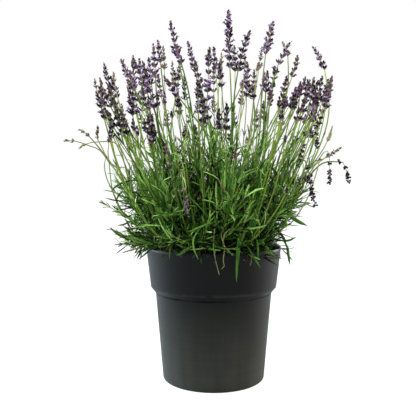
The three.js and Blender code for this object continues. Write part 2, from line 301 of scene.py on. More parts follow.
# %% Pot finish
def pot_finish(rubbed_and_highlit_levels, shadow_line_level):
    """The heights, in metres, of the rubbed edges with a painted highlight and of a painted shadow line."""
    f = Finish("moulded plastic")
    height = f.node("SeparateXYZ", {"Vector": f.here()}).outputs["Z"]
    grain = f.noise(900.0, 2.0)
    cloud = f.noise(14.0, 5.0, roughness=0.6)
    drip = f.node("Mapping", {"Vector": f.here(), "Scale": (60.0, 60.0, 5.0)}).outputs[0]
    streak = f.noise(1.0, 4.0, drip)
    turned = f.node("Mapping", {"Vector": f.here(), "Scale": (3.0, 3.0, 240.0)}).outputs[0]
    ring = f.noise(1.0, 3.0, turned)
    base = f.ramp(cloud, [(0.3, (0.0014, 0.0019, 0.0021)), (0.7, (0.0028, 0.0035, 0.0036))])
    # painted light: lighter towards the floor, as painted bounce light together with some lime dust, and
    # almost black on the collar, as painted shade under the plant
    dust_and_painted_light = f.ramp(f.remap(height, 0.0, 0.24), [
        (0.0, (0.078, 0.077, 0.067)),
        (0.18, (0.054, 0.054, 0.046)),
        (0.42, (0.028, 0.029, 0.024)),
        (0.60, (0.009, 0.010, 0.009)),
        (0.70, (0.001, 0.001, 0.001)),
    ])
    streaky, cloudy = f.remap(streak, 0.25, 0.75, 0.65, 1.0), f.remap(cloud, 0.3, 0.7, 0.75, 1.0)
    patchy = f.maths("MULTIPLY", streaky, cloudy)
    patchy = f.maths("MULTIPLY", patchy, f.remap(ring, 0.3, 0.7, 0.85, 1.0))
    with_dust_and_painted_light = f.mix(patchy, base, dust_and_painted_light)
    # the rim and the collar's lower corner: a little rubbing and a thin painted highlight along each edge
    rubbed_and_highlit = 0.0
    for level in rubbed_and_highlit_levels:
        near = f.remap(f.maths("ABSOLUTE", f.maths("SUBTRACT", height, level)), 0.0035, 0.0)
        rubbed_and_highlit = f.maths("MAXIMUM", near, rubbed_and_highlit)
    rubbed_and_highlit = f.maths("MULTIPLY", rubbed_and_highlit, f.remap(f.noise(70.0, 3.0), 0.35, 0.7, 0.0, 0.4))
    # a painted shadow line in the corner at the foot of the step, under the collar's overhang; the plastic
    # is also matt there
    corner = f.remap(f.maths("ABSOLUTE", f.maths("SUBTRACT", height, shadow_line_level)), 0.0030, 0.0008)
    corner = f.maths("MULTIPLY", corner, f.remap(f.noise(22.0, 2.0), 0.35, 0.6, 0.45, 1.0))
    # worn lays the painted highlights of the rubbed edges over the colour
    worn = f.mix(rubbed_and_highlit, with_dust_and_painted_light, (0.060, 0.063, 0.064))
    # the painted shadow line is laid over the colour last
    f.set("Base Color", f.mix(corner, worn, (0.001, 0.001, 0.001)))
    uneven = f.maths("ADD", cloud, f.maths("MULTIPLY", streak, 0.5))
    cleaner = f.remap(height, 0.12, 0.15, 0.0, 0.08)
    matt = f.maths("SUBTRACT", f.remap(uneven, 0.5, 1.0, 0.46, 0.62), cleaner)
    f.set("Roughness", f.maths("MAXIMUM", matt, corner))
    f.set("Specular IOR Level", 0.165)
    f.bump(f.maths("ADD", f.maths("MULTIPLY", grain, 0.35), cloud), 0.25, 0.0006)
    return f.material


# %% [markdown]
# ### Soil and bark
#
# Potting soil is dark peat with paler fibres. The old wood of lavender is grey-brown, and its
# bark peels in long strips along the branch.

# %% Soil and bark finishes
def soil_finish():
    f = Finish("peat")
    clumps = f.noise(160.0, 6.0, roughness=0.7)
    fibres = f.node("TexVoronoi", {"Vector": f.here(), "Scale": 420.0}).outputs["Distance"]
    dark = f.ramp(clumps, [(0.35, (0.008, 0.0055, 0.004)), (0.65, (0.040, 0.026, 0.017))])
    f.set("Base Color", f.mix(f.remap(fibres, 0.12, 0.0, 0.0, 0.6), dark, (0.13, 0.09, 0.055)))
    f.set("Roughness", 0.95)
    f.bump(clumps, 0.8, 0.002)
    return f.material


def bark_finish():
    f = Finish("peeling bark")
    strips = f.node("Mapping", {"Vector": f.here(), "Scale": (420.0, 420.0, 60.0)}).outputs[0]
    strip = f.noise(1.0, 4.0, strips, 0.6)
    f.set("Base Color", f.ramp(strip, [
        (0.3, (0.020, 0.016, 0.010)),
        (0.55, (0.062, 0.052, 0.032)),
        (0.8, (0.140, 0.120, 0.075)),
    ]))
    f.set("Roughness", 0.85)
    f.bump(strip, 0.7, 0.0012)
    return f.material


# %% [markdown]
# ### Leaves, stems and flowers
#
# Every copied part carries three numbers on its points: `along` runs from its foot to its tip,
# `shade` is one random number for the whole copy, to which leaves and flower spikes add a painted
# shade by where they stand, and `age` is 0 when fresh and 1 when withered. The finishes turn those
# numbers into colour, so hardly two leaves are the same green, and a fresh calyx is pale at its
# foot and purple above.

# %% Leaf finish
def leaf_finish():
    f = Finish("lavender leaf")
    along, shade, age = f.own("along"), f.own("shade"), f.own("age")
    greens = f.ramp(shade, [
        (0.0, (0.0006, 0.003, 0.0006)),
        (0.3, (0.007, 0.038, 0.004)),
        (0.6, (0.056, 0.182, 0.017)),
        (1.0, (0.350, 0.610, 0.150)),
    ])
    blotch = f.remap(f.noise(95.0, 3.0), 0.3, 0.7, 0.78, 1.2)
    tipped = f.mix(f.remap(along, 0.5, 1.0, 0.0, 0.25), greens, (0.20, 0.36, 0.06))
    dry = f.mix(age, tipped, (0.26, 0.20, 0.09))
    f.set("Base Color", f.node("HueSaturation", {"Color": dry, "Value": blotch}).outputs[0])
    f.set("Roughness", f.remap(f.noise(240.0, 2.0), 0.3, 0.7, 0.48, 0.68))
    f.set("Specular IOR Level", 0.09)
    f.bump(f.noise(700.0, 2.0), 0.15, 0.0003)
    return f.material


# %% Stem finish
def stem_finish():
    f = Finish("green stem")
    along, shade, age = f.own("along"), f.own("shade"), f.own("age")
    low = f.mix(shade, (0.026, 0.085, 0.005), (0.105, 0.260, 0.019))
    high = f.mix(shade, (0.092, 0.165, 0.009), (0.330, 0.430, 0.060))
    green = f.mix(f.remap(along, 0.15, 0.85), low, high)
    dry = f.mix(age, green, (0.38, 0.31, 0.20))
    worn = f.remap(f.noise(130.0, 3.0), 0.45, 0.8, 0.0, 0.3)
    f.set("Base Color", f.mix(worn, dry, (0.18, 0.25, 0.05)))
    f.set("Roughness", 0.62)
    f.set("Specular IOR Level", 0.16)
    f.bump(f.noise(900.0, 2.0), 0.2, 0.0003)
    return f.material


# %% Flower finishes
def calyx_finish():
    f = Finish("calyx")
    along, shade, age = f.own("along"), f.own("shade"), f.own("age")
    purple = f.ramp(shade, [
        (0.0, (0.002, 0.0010, 0.005)),
        (0.5, (0.030, 0.008, 0.040)),
        (1.0, (0.290, 0.132, 0.310)),
    ])
    foot = f.mix(shade, (0.12, 0.09, 0.09), (0.66, 0.56, 0.46))
    fresh = f.mix(f.remap(along, 0.10, 0.44), foot, purple)
    old = f.mix(shade, (0.085, 0.060, 0.052), (0.40, 0.30, 0.21))
    tone = f.mix(age, fresh, old)
    down = f.remap(f.noise(1300.0, 2.0), 0.5, 0.8, 0.0, 0.25)
    f.set("Base Color", f.mix(down, tone, (0.20, 0.15, 0.21)))
    f.set("Roughness", 0.7)
    f.set("Specular IOR Level", 0.10)
    f.bump(f.noise(1500.0, 2.0), 0.3, 0.0003)
    return f.material


def petal_finish():
    f = Finish("petal")
    along, shade = f.own("along"), f.own("shade")
    lilac = f.mix(shade, (0.24, 0.15, 0.34), (0.62, 0.51, 0.70))
    f.set("Base Color", f.mix(f.remap(along, 0.5, 0.0, 0.0, 0.6), lilac, (0.10, 0.05, 0.17)))
    f.set("Roughness", 0.6)
    f.set("Specular IOR Level", 0.25)
    f.bump(f.noise(800.0, 2.0), 0.2, 0.0002)
    return f.material


LEAF, STEM, CALYX, PETAL = leaf_finish(), stem_finish(), calyx_finish(), petal_finish()
BARK, PEAT = bark_finish(), soil_finish()
print("finishes:", [m.name for m in bpy.data.materials])

# %% [markdown]
# ## Growing a shape
#
# The pot, a leaf, a calyx and a stem have one thing in common: a closed outline that changes
# size along a line. So one helper makes them. It adds a small polygon, and in edit mode it
# extrudes that polygon from section to section, moving and scaling it each time. The faces that
# are left at the two ends close the body.

# %% Grow by extrusion
def grow(name, sides, sections, pointed=False):
    """sections: (height, half width, half depth) in mm. pointed draws the last one to a point."""
    bpy.ops.object.select_all(action="DESELECT")
    height, width, depth = (value * MM for value in sections[0])
    bpy.ops.mesh.primitive_circle_add(vertices=sides, radius=1, fill_type="NGON",
                                      location=(0, 0, 0))
    thing = bpy.context.object
    thing.name = name
    bpy.ops.object.mode_set(mode="EDIT")
    bpy.ops.mesh.select_all(action="SELECT")
    bpy.ops.transform.resize(value=(width, depth, 1), center_override=(0, 0, 0))
    bpy.ops.transform.translate(value=(0, 0, height))
    for section in sections[1:]:
        next_height, next_width, next_depth = (value * MM for value in section)
        rise = {"value": (0, 0, next_height - height)}
        bpy.ops.mesh.extrude_region_move(TRANSFORM_OT_translate=rise)
        scale = (next_width / width, next_depth / depth, 1)
        bpy.ops.transform.resize(value=scale, center_override=(0, 0, next_height))
        height, width, depth = next_height, next_width, next_depth
    if pointed:
        bpy.ops.mesh.merge(type="CENTER")
    bpy.ops.mesh.select_all(action="SELECT")
    bpy.ops.mesh.normals_make_consistent(inside=False)
    bpy.ops.object.mode_set(mode="OBJECT")
    return thing


def finish_with(thing, modifier, **settings):
    """Add a modifier, set it and apply it."""
    select_only(thing)
    made = thing.modifiers.new(modifier.lower(), modifier)
    for key, value in settings.items():
        setattr(made, key, value)
    bpy.ops.object.modifier_apply(modifier=made.name)


# %% [markdown]
# ## The pot
#
# The pot is one thin moulding: a tapered body, a step, and a wider collar that stiffens the rim.
# Its main levels are read from the frame, so it fits the soil and stands where the frame's pot
# does. Here it gets more facets, and rounded corners where the mould had them.

# %% Read the pot's levels from the frame
def node_points(name):
    mesh = frame["nodes"][name].data
    points = np.empty(len(mesh.vertices) * 3)
    mesh.vertices.foreach_get("co", points)
    return points.reshape(-1, 3)


pot_points = node_points("pot") / MM
pot_reach = {}
for x, y, z in pot_points:
    level = round(float(z), 1)
    pot_reach[level] = max(pot_reach.get(level, 0.0), math.hypot(x, y))
pot_levels = sorted(pot_reach)
POT_TOP = pot_levels[-1]
RIM = pot_reach[pot_levels[-2]]
STEP_FOOT, _, STEP_HEAD = [level for level in pot_levels if level > 100][:3]
BODY, COLLAR, BASE = pot_reach[STEP_FOOT], pot_reach[STEP_HEAD], pot_reach[3.0]
WALL = 2.5
print("pot, mm: top", POT_TOP, "rim", round(RIM, 1), "collar", round(COLLAR, 1),
      "body", round(BODY, 1), "base", round(BASE, 1), "step", STEP_FOOT, STEP_HEAD)

# %% [markdown]
# The outline starts at the middle of the underside, with the raised gutter that the drain holes
# sit in, then goes up outside, over the lip and down inside. A spin would also make this body.
# Extruding ring by ring has no seam to close.

# %% Mould the pot
POT_SIDES = 128
outline = [
    (0, 45), (4, 47), (4, 68), (0, 70), (0, BASE - 3.4),
    (0.3, BASE - 1.9), (1.1, BASE - 0.8), (3, BASE),
    (STEP_FOOT - 1.2, BODY - 0.1), (STEP_FOOT - 0.2, BODY + 0.1), (STEP_FOOT + 0.7, BODY + 0.8),
    (STEP_HEAD - 1.4, COLLAR - 1.2), (STEP_HEAD - 0.5, COLLAR - 0.4), (STEP_HEAD + 0.8, COLLAR),
    (POT_TOP - 6, RIM - 0.7), (POT_TOP - 4.5, RIM - 0.1), (POT_TOP - 1.2, RIM),
    (POT_TOP - 0.35, RIM - 0.4), (POT_TOP, RIM - 1.2), (POT_TOP - 0.35, RIM - 2.1),
    (POT_TOP - 1.2, RIM - WALL), (STEP_HEAD + 1, COLLAR - WALL), (STEP_FOOT + 1, BODY - WALL),
    (5.5, BASE - WALL), (3.4, BASE - 3.2), (2.5, BASE - 4.6),
    (2.5, 71), (6.5, 69), (6.5, 46), (2.5, 44),
]
pot = grow("lavender_pot", POT_SIDES, [(height, radius, radius) for height, radius in outline])
print("pot before drilling:", len(pot.data.polygons), "faces")

# %% Drill the drain holes
bpy.ops.object.select_all(action="DESELECT")
HOLES, HOLE_RING, HOLE_RADIUS = 8, 57.5 * MM, 5 * MM
drills = []
for index in range(HOLES):
    angle = math.tau * (index + 0.5) / HOLES
    place = (HOLE_RING * math.cos(angle), HOLE_RING * math.sin(angle), 5 * MM)
    bpy.ops.mesh.primitive_cylinder_add(vertices=20, radius=HOLE_RADIUS, depth=20 * MM,
                                        location=place)
    drills.append(bpy.context.object)
select_only(*drills)
bpy.ops.object.join()
drill = bpy.context.object
finish_with(pot, "BOOLEAN", object=drill, operation="DIFFERENCE", solver="EXACT")
bpy.data.objects.remove(drill)
select_only(pot)
bpy.ops.object.shade_smooth_by_angle(angle=math.radians(38))
# painted highlights at the rim and the collar's lower corner, and a painted shadow line at the step's foot
pot.data.materials.append(pot_finish([(POT_TOP - 1) * MM, STEP_HEAD * MM], STEP_FOOT * MM))
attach(pot, "root")
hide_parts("pot")
print("pot:", len(pot.data.polygons), "faces")

# %% [markdown]
# ## The soil
#
# Peat settles lower than the rim and is crumbly on top. The body is grown like the pot, then
# only its top is displaced with a cloud texture. Loose crumbs are added as copies later.

# %% Fill in the soil
def wall_inside(height):
    """The pot's inner radius at a height, in mm."""
    heights = (5.5, STEP_FOOT + 1, STEP_HEAD + 1, POT_TOP - 1.2)
    radii = (BASE - WALL, BODY - WALL, COLLAR - WALL, RIM - WALL)
    return float(np.interp(height, heights, radii))


SOIL_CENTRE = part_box("soil")[1].z / MM
SOIL_EDGE = SOIL_CENTRE - 4
CLEAR = 0.5
soil_outline = [(7.2, 40), (7.2, 70)]
for height in (9, STEP_FOOT + 1, STEP_HEAD + 1, SOIL_EDGE):
    soil_outline.append((height, wall_inside(height) - CLEAR - (2 if height == 9 else 0)))
edge = soil_outline[-1][1]
for share in np.linspace(0.05, 0.96, 24):
    soil_outline.append((SOIL_EDGE + (SOIL_CENTRE - SOIL_EDGE) * share ** 0.7, edge * (1 - share)))
soil = grow("potting_soil_bed", 96, [(height, radius, radius) for height, radius in soil_outline])
top_group = soil.vertex_groups.new(name="top")
inner = [v.index for v in soil.data.vertices
         if v.co.z > (SOIL_EDGE - 1) * MM and math.hypot(v.co.x, v.co.y) < (edge - 3) * MM]
top_group.add(inner, 1.0, "REPLACE")
lumps = bpy.data.textures.new("lumps", "CLOUDS")
lumps.noise_scale = 0.009
lumps.noise_depth = 4
finish_with(soil, "DISPLACE", texture=lumps, strength=7 * MM, mid_level=0.5, vertex_group="top",
            texture_coords="LOCAL", direction="Z")
select_only(soil)
bpy.ops.object.shade_smooth_by_angle(angle=math.radians(50))
soil.data.materials.append(PEAT)
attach(soil, "root")
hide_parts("soil")
soil_top = max(vertex.co.z for vertex in soil.data.vertices)
print("soil:", len(soil.data.polygons), "faces, top at", round(soil_top / MM), "mm")

# %% [markdown]
# ## The woody crown
#
# Old lavender wood forks low down into short knuckles. The frame's crown has the right knuckles
# but smooth, faceted ones. A copy of it is merged into one skin, remeshed finely and roughened.

# %% Roughen the crown
crown_mesh = frame["nodes"]["woody_crown"].data.copy()
crown = bpy.data.objects.new("lavender_crown", crown_mesh)
bpy.context.scene.collection.objects.link(crown)
crown_mesh.materials.clear()
select_only(crown)
bpy.ops.object.mode_set(mode="EDIT")
bpy.ops.mesh.select_all(action="SELECT")
bpy.ops.mesh.remove_doubles(threshold=0.01 * MM)
bpy.ops.object.mode_set(mode="OBJECT")
finish_with(crown, "REMESH", mode="VOXEL", voxel_size=1.3 * MM)
ridges = bpy.data.textures.new("ridges", "CLOUDS")
ridges.noise_scale = 0.005
ridges.noise_depth = 3
finish_with(crown, "DISPLACE", texture=ridges, strength=2.2 * MM, mid_level=0.55,
            texture_coords="LOCAL")
select_only(crown)
bpy.ops.object.shade_smooth()
crown.data.materials.append(BARK)
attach(crown, "root")
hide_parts("woody_crown")
print("crown:", len(crown.data.polygons), "faces")

# %% [markdown]
# ## Small shapes, modelled once
#
# A lavender has thousands of leaves and calyces. Each kind is modelled once at its real size and
# copied by arithmetic later, because thousands of copies made one by one would take minutes.
# A leaf, a calyx or a flower has a few dozen faces at most, and a rod has more.

# %% Keep a small shape as plain numbers
class Shape:
    """A small shape that was modelled once: its points, the corners of its faces, its length."""

    def __init__(self, thing):
        mesh = thing.data
        self.points = np.empty(len(mesh.vertices) * 3)
        mesh.vertices.foreach_get("co", self.points)
        self.points = self.points.reshape(-1, 3)
        self.corners = np.empty(len(mesh.loops), np.int32)
        mesh.loops.foreach_get("vertex_index", self.corners)
        self.sizes = np.array([len(face.vertices) for face in mesh.polygons], np.int32)
        self.length = float(self.points[:, 2].max())
        self.along = np.clip(self.points[:, 2] / self.length, 0, 1)
        self.triangles = int((self.sizes - 2).sum())
        print(thing.name, "has", self.triangles, "triangles")
        bpy.data.objects.remove(thing)


# %% [markdown]
# ### Leaf
#
# Lavender leaves are narrow, with a groove along the middle and edges that roll down. A
# four-cornered section does this: its upper corner is pushed below the two side corners.

# %% Model the leaf
GROOVE_DEPTH = 0.25


def resize_points(thing, wanted, scale):
    """Scale just those points of a shape for which wanted(place) is true, about its foot."""
    select_only(thing)
    bpy.ops.object.mode_set(mode="EDIT")
    bpy.ops.mesh.select_all(action="DESELECT")
    bpy.ops.object.mode_set(mode="OBJECT")
    for vertex in thing.data.vertices:
        vertex.select = wanted(vertex.co)
    bpy.ops.object.mode_set(mode="EDIT")
    bpy.ops.transform.resize(value=scale, center_override=(0, 0, 0))
    bpy.ops.object.mode_set(mode="OBJECT")


def on_upper_ridge(place):
    return place.y > 1e-6 and abs(place.x) < 1e-6


def grooved_blade(name, sections, pointed=True):
    """A grown blade with its upper ridge pushed down, so that its section is a shallow V."""
    thing = grow(name, 4, sections, pointed)
    resize_points(thing, on_upper_ridge, (1, -GROOVE_DEPTH, 1))
    return Shape(thing)


leaf_shape = grooved_blade("leaf", [
    (0, 0.5, 0.4), (7, 1.1, 0.7), (20, 1.45, 0.9), (33, 1.1, 0.7), (40, 0.2, 0.2),
])
small_leaf_shape = grooved_blade("small leaf", [
    (0, 0.5, 0.4), (12, 1.45, 0.85), (28, 1.35, 0.75), (40, 0.2, 0.2),
])
bract_shape = grooved_blade("bract", [(0, 0.6, 0.3), (1.8, 2.2, 0.45), (5.6, 0.3, 0.2)])

# %% [markdown]
# ### Calyx and petals
#
# A calyx is a ribbed little tube with a pinched foot and a toothed mouth, and the bud closes it.
# Where a flower is open, its petals flare out of the mouth in five lobes.

# %% Model the calyx and the open flower
calyx_shape = Shape(grow("calyx", 5, [
    (0, 0.35, 0.35), (2.4, 0.95, 0.95), (5.4, 1.35, 1.35), (7.4, 1.0, 1.0), (8.6, 0.2, 0.2),
], pointed=True))

LOBES = 5


def between_lobes(place):
    corner = round(math.atan2(place.y, place.x) / (math.tau / (2 * LOBES)) - LOBES / 2)
    return math.hypot(place.x, place.y) > 2 * MM and corner % 2 == 0


corolla = grow("corolla", 2 * LOBES, [(0, 0.8, 0.8), (2.4, 3.4, 3.4), (1.6, 0.6, 0.6)])
resize_points(corolla, between_lobes, (0.6, 0.6, 1))
corolla_shape = Shape(corolla)

# %% [markdown]
# ### Rods
#
# A flower stem is square, a woody twig is round, and a long leaf is a grooved blade. All are
# bent along a line, so they are modelled as straight rods with many sections and a half width of
# one millimetre.

# %% Model the rods
FINE_MARKS, COARSE_MARKS = np.linspace(0, 100, 21), np.linspace(0, 100, 11)
square_rod = Shape(grow("square rod", 4, [(mark, 1, 1) for mark in FINE_MARKS]))
round_rod = Shape(grow("round rod", 7, [(mark, 1, 1) for mark in FINE_MARKS]))
blade_rod = grooved_blade("blade rod", [(mark, 1, 0.4) for mark in FINE_MARKS], pointed=False)
twig_rod = Shape(grow("twig rod", 5, [(mark, 1, 1) for mark in COARSE_MARKS]))

# %% [markdown]
# ### Crumb
#
# A crumb of peat is a small ball with its points knocked about.

# %% Model a soil crumb
bpy.ops.object.select_all(action="DESELECT")
bpy.ops.mesh.primitive_ico_sphere_add(subdivisions=1, radius=1.5 * MM, location=(0, 0, 1.2 * MM))
crumb = bpy.context.object
crumb.name = "crumb"
bpy.ops.object.mode_set(mode="EDIT")
bpy.ops.mesh.select_all(action="SELECT")
bpy.ops.transform.vertex_random(offset=0.5 * MM, seed=7)
bpy.ops.mesh.normals_make_consistent(inside=False)
bpy.ops.object.mode_set(mode="OBJECT")
crumb_shape = Shape(crumb)

# %% [markdown]
# ## Lines that parts follow
#
# The frame's stems and shoots hold their own centrelines. Each ring of corners on a node has its
# middle on the line, and the rings can be walked from the foot by going from neighbour to
# neighbour. That is only a reading of the frame: nothing on it changes.

# %% Walk along a node's rings
# where the shoots and stems start
HEART = np.array((0, 0, 0.24))


def centreline(name, sides):
    """The middles of a node's rings, from the end near the plant's heart to the far end."""
    spots, index = np.unique(np.round(node_points(name), 6), axis=0, return_inverse=True)
    index = index.ravel()
    near = [set() for _ in spots]
    for edge in frame["nodes"][name].data.edges:
        a, b = (int(index[v]) for v in edge.vertices)
        if a != b:
            near[a].add(b)
            near[b].add(a)
    ends = [i for i in range(len(spots)) if len(near[i]) == sides]
    ends.sort(key=lambda i: np.linalg.norm(spots[i] - HEART))
    for foot in ends:
        levels, seen = [[foot]], {foot}
        while True:
            ahead = sorted({n for i in levels[-1] for n in near[i]} - seen)
            if not ahead:
                break
            levels.append(ahead)
            seen.update(ahead)
        if [len(level) for level in levels[1:-1]] == [sides] * (len(levels) - 2):
            return np.array([spots[level].mean(axis=0) for level in levels[1:]])
    raise ValueError(f"{name} has no rings of {sides}")


# %% [markdown]
# The rings are far apart, so a line read off them has corners. A curve that passes through every
# point takes them out, and even steps along it make every later sum easy. Blender's own curves
# could do it too, but plain arrays are quicker for hundreds of twigs and stems.

# %% Smooth, trim and measure a line
def even(line, spacing):
    """The same line, as evenly spaced points."""
    steps = np.linalg.norm(np.diff(line, axis=0), axis=1)
    lengths = np.concatenate(([0], np.cumsum(steps)))
    count = max(3, int(round(lengths[-1] / spacing)) + 1)
    marks = np.linspace(0, lengths[-1], count)
    return np.column_stack([np.interp(marks, lengths, line[:, k]) for k in range(3)])


def smooth_line(points, spacing=2 * MM):
    """A smooth line through the points."""
    points = np.asarray(points, float)
    keep = np.concatenate(([True], np.linalg.norm(np.diff(points, axis=0), axis=1) > 0.05 * MM))
    points = points[keep]
    knots = np.vstack((2 * points[0] - points[1], points, 2 * points[-1] - points[-2]))
    t = np.linspace(0, 1, 10, endpoint=False)[:, None]
    runs = []
    for a, b, c, d in zip(knots, knots[1:], knots[2:], knots[3:]):
        bend = (2 * a - 5 * b + 4 * c - d) * t ** 2 + (3 * b - a - 3 * c + d) * t ** 3
        runs.append(0.5 * (2 * b + (c - a) * t + bend))
    return even(np.vstack((*runs, points[-1:])), spacing)


def trimmed(line, amount):
    """The line without its last `amount` metres."""
    steps = np.linalg.norm(np.diff(line, axis=0), axis=1)
    left = np.cumsum(steps[::-1])[::-1] > amount
    return line[:-1][left]


def length_of(line):
    return float(np.linalg.norm(np.diff(line, axis=0), axis=1).sum())


# %% [markdown]
# Whatever grows on a line needs to know which way the line runs there, and two directions across
# it. Those two are carried along from point to point, so that a stem does not twist.

# %% Directions along a line
def unit(vector):
    """The same direction with a length of one."""
    vector = np.asarray(vector, float)
    return vector / np.maximum(np.linalg.norm(vector, axis=-1, keepdims=True), 1e-12)


def axes_along(line):
    """Three square directions at each point of a line: ahead, and two across it."""
    ahead = unit(np.gradient(line, axis=0))
    side = np.cross(ahead[0], (0.31, -0.87, 0.38))
    sides = []
    for direction in ahead:
        side = unit(side - direction * side.dot(direction))
        sides.append(side)
    sides = np.array(sides)
    return ahead, sides, np.cross(ahead, sides)


def sample(values, at):
    """Rows of `values` at fractional positions."""
    index = np.clip(np.floor(at).astype(int), 0, len(values) - 2)
    part = (at - index)[:, None]
    return values[index] * (1 - part) + values[index + 1] * part


# %% Read the lines of the shoots and stems
shoot_names = [name for name in nodes if name.startswith("leafy_shoot")]
stem_names = [name for name in nodes if name.startswith("flower_stem")]
shoot_lines = {name: smooth_line(centreline(name, 7)) for name in shoot_names}
stem_lines = {name: smooth_line(centreline(name, 5)) for name in stem_names}
for kind, lines in (("shoots", shoot_lines), ("stems", stem_lines)):
    mean_length = np.mean([length_of(line) for line in lines.values()])
    print(len(lines), kind, "with a mean length of", round(mean_length / MM), "mm")

# %% [markdown]
# ## Laying out copies
#
# A bunch collects copies of the small shapes and writes them as one piece. A copy can be bent
# and twisted as it is placed, so the same leaf serves everywhere and never looks the same.

# %% How far a copy may stand out
low, high = (np.array(corner) for corner in cad_box)
PROUD = 0.03 * (high - low) + 9 * MM
LOWEST, HIGHEST = low - PROUD, high + PROUD
# longer shapes are rods, which are never left out
ROD_LENGTH = 90 * MM
print("copies may stand", [round(value / MM) for value in PROUD], "mm proud of the frame")


# %% Bunch of copies
class Bunch:
    """Copies of small shapes that together make one piece."""

    def __init__(self):
        self.points, self.corners, self.sizes, self.slots = [], [], [], []
        self.own = {"along": [], "shade": [], "age": []}
        self.finishes = []
        self.count = 0

    def add(self, shape, places, finish, shade=0.5, age=0.0):
        """places: the points of every copy, as an array of copies x points x 3.
        A copy that would stand too far out is left out, unless it is a rod."""
        copies, size = places.shape[:2]
        shade, age = np.broadcast_to(shade, copies), np.broadcast_to(age, copies)
        if shape.length < ROD_LENGTH:
            fits = ((places > LOWEST) & (places < HIGHEST)).all(axis=(1, 2))
            places, shade, age = places[fits], shade[fits], age[fits]
            copies = len(places)
        if finish not in self.finishes:
            self.finishes.append(finish)
        firsts = self.count + np.arange(copies) * size
        self.points.append(places.reshape(-1, 3))
        self.corners.append((shape.corners[None, :] + firsts[:, None]).ravel())
        self.sizes.append(np.tile(shape.sizes, copies))
        self.slots.append(np.full(copies * len(shape.sizes), self.finishes.index(finish)))
        self.own["along"].append(np.tile(shape.along, copies))
        self.own["shade"].append(np.repeat(shade, size))
        self.own["age"].append(np.repeat(age, size))
        self.count += copies * size

    def write(self, name, crease=40):
        mesh = bpy.data.meshes.new(name)
        points = np.concatenate(self.points).astype(np.float32)
        corners = np.concatenate(self.corners).astype(np.int32)
        sizes = np.concatenate(self.sizes)
        starts = np.concatenate(([0], np.cumsum(sizes)[:-1])).astype(np.int32)
        mesh.vertices.add(len(points))
        mesh.vertices.foreach_set("co", points.ravel())
        mesh.loops.add(len(corners))
        mesh.loops.foreach_set("vertex_index", corners)
        mesh.polygons.add(len(sizes))
        mesh.polygons.foreach_set("loop_start", starts)
        mesh.polygons.foreach_set("material_index", np.concatenate(self.slots).astype(np.int32))
        mesh.update(calc_edges=True)
        for key, values in self.own.items():
            kept = mesh.attributes.new(key, "FLOAT", "POINT")
            kept.data.foreach_set("value", np.concatenate(values).astype(np.float32))
        for finish in self.finishes:
            mesh.materials.append(finish)
        piece = bpy.data.objects.new(name, mesh)
        bpy.context.scene.collection.objects.link(piece)
        select_only(piece)
        bpy.ops.object.shade_smooth_by_angle(angle=math.radians(crease))
        return piece


# %% Stand copies on their feet
LEAST_BEND = 1e-3


def copies_of(shape, feet, ahead, upper, length=1.0, width=1.0, bend=0.0, twist=0.0):
    """Copies that stand on `feet` and point `ahead`, with their upper side towards `upper`.
    bend turns each copy's tip away from its upper side, and twist turns it about its length."""
    count = len(feet)
    numbers = (np.asarray(value, float) for value in (length, width, bend, twist))
    length, width, bend, twist = (np.broadcast_to(value, count)[:, None] for value in numbers)
    bend = np.where(np.abs(bend) < LEAST_BEND, LEAST_BEND, bend)
    x, y, _ = shape.points.T[:, None, :]
    along = shape.points[:, 2][None, :] / shape.length
    turn, roll = bend * along, twist * along
    reach = length * shape.length / bend
    across = width * (x * np.cos(roll) - y * np.sin(roll))
    thick = width * (x * np.sin(roll) + y * np.cos(roll))
    forward = reach * np.sin(turn) + thick * np.sin(turn)
    lift = reach * (np.cos(turn) - 1) + thick * np.cos(turn)
    ahead = unit(ahead)
    upper = unit(upper - ahead * (upper * ahead).sum(axis=1, keepdims=True))
    side = np.cross(upper, ahead)
    parts = ((across, side), (lift, upper), (forward, ahead))
    return feet[:, None, :] + sum(value[:, :, None] * axis[:, None, :] for value, axis in parts)


# %% Carry a rod along a line
def carried(rod, line, radii, facing=None):
    """A rod carried along a line. radii: its half width at any number of even marks.
    facing is the direction that the flat side of a blade looks in."""
    at = rod.along * (len(line) - 1)
    ahead, side, over = axes_along(line)
    if facing is not None:
        side = unit(np.cross(ahead, facing))
        over = np.cross(ahead, side)
    radius = np.interp(rod.along, np.linspace(0, 1, len(radii)), radii)[:, None] / MM
    flat = rod.points[:, :2] * radius
    places = sample(line, at) + sample(side, at) * flat[:, :1] + sample(over, at) * flat[:, 1:]
    return places[None]


# %% [markdown]
# The soil gets its loose crumbs now. Each lies at the height of the soil under it.

# %% Scatter the crumbs
crumb_rng = np.random.default_rng(5)
CRUMBS = 320
reach = (edge - 4) * MM * np.sqrt(crumb_rng.random(CRUMBS))
turn = crumb_rng.uniform(0, math.tau, CRUMBS)
feet = []
for x, y in zip(reach * np.cos(turn), reach * np.sin(turn)):
    _, place, _, _ = soil.ray_cast(Vector((x, y, 1)), Vector((0, 0, -1)))
    feet.append(place - Vector((0, 0, 0.8 * MM)))
ways = crumb_rng.normal(0, 1, (CRUMBS, 3))
ups = np.tile((0.0, 0.0, 1.0), (CRUMBS, 1)) + 0.4 * ways
size = crumb_rng.uniform(0.5, 1.6, CRUMBS)
crumbs = Bunch()
places = copies_of(crumb_shape, np.array(feet), ups, ways[:, ::-1], size, size)
crumbs.add(crumb_shape, places, PEAT)
piece = crumbs.write("soil_crumbs", crease=30)
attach(piece, "root")
print("crumbs:", CRUMBS)

# %% [markdown]
# ## Leaves on a twig
#
# Lavender leaves stand in pairs, and each pair is turned a quarter against the one below. Small
# leaves grow in the corners between leaf and twig. Near the tip the leaves are short and close
# to the twig, and lower down they spread.

# %% Tones of the leaves
# the heights between which the leaves get fewer, in metres above the ground
THIN_FROM, BARE_ABOVE = 0.32, 0.41
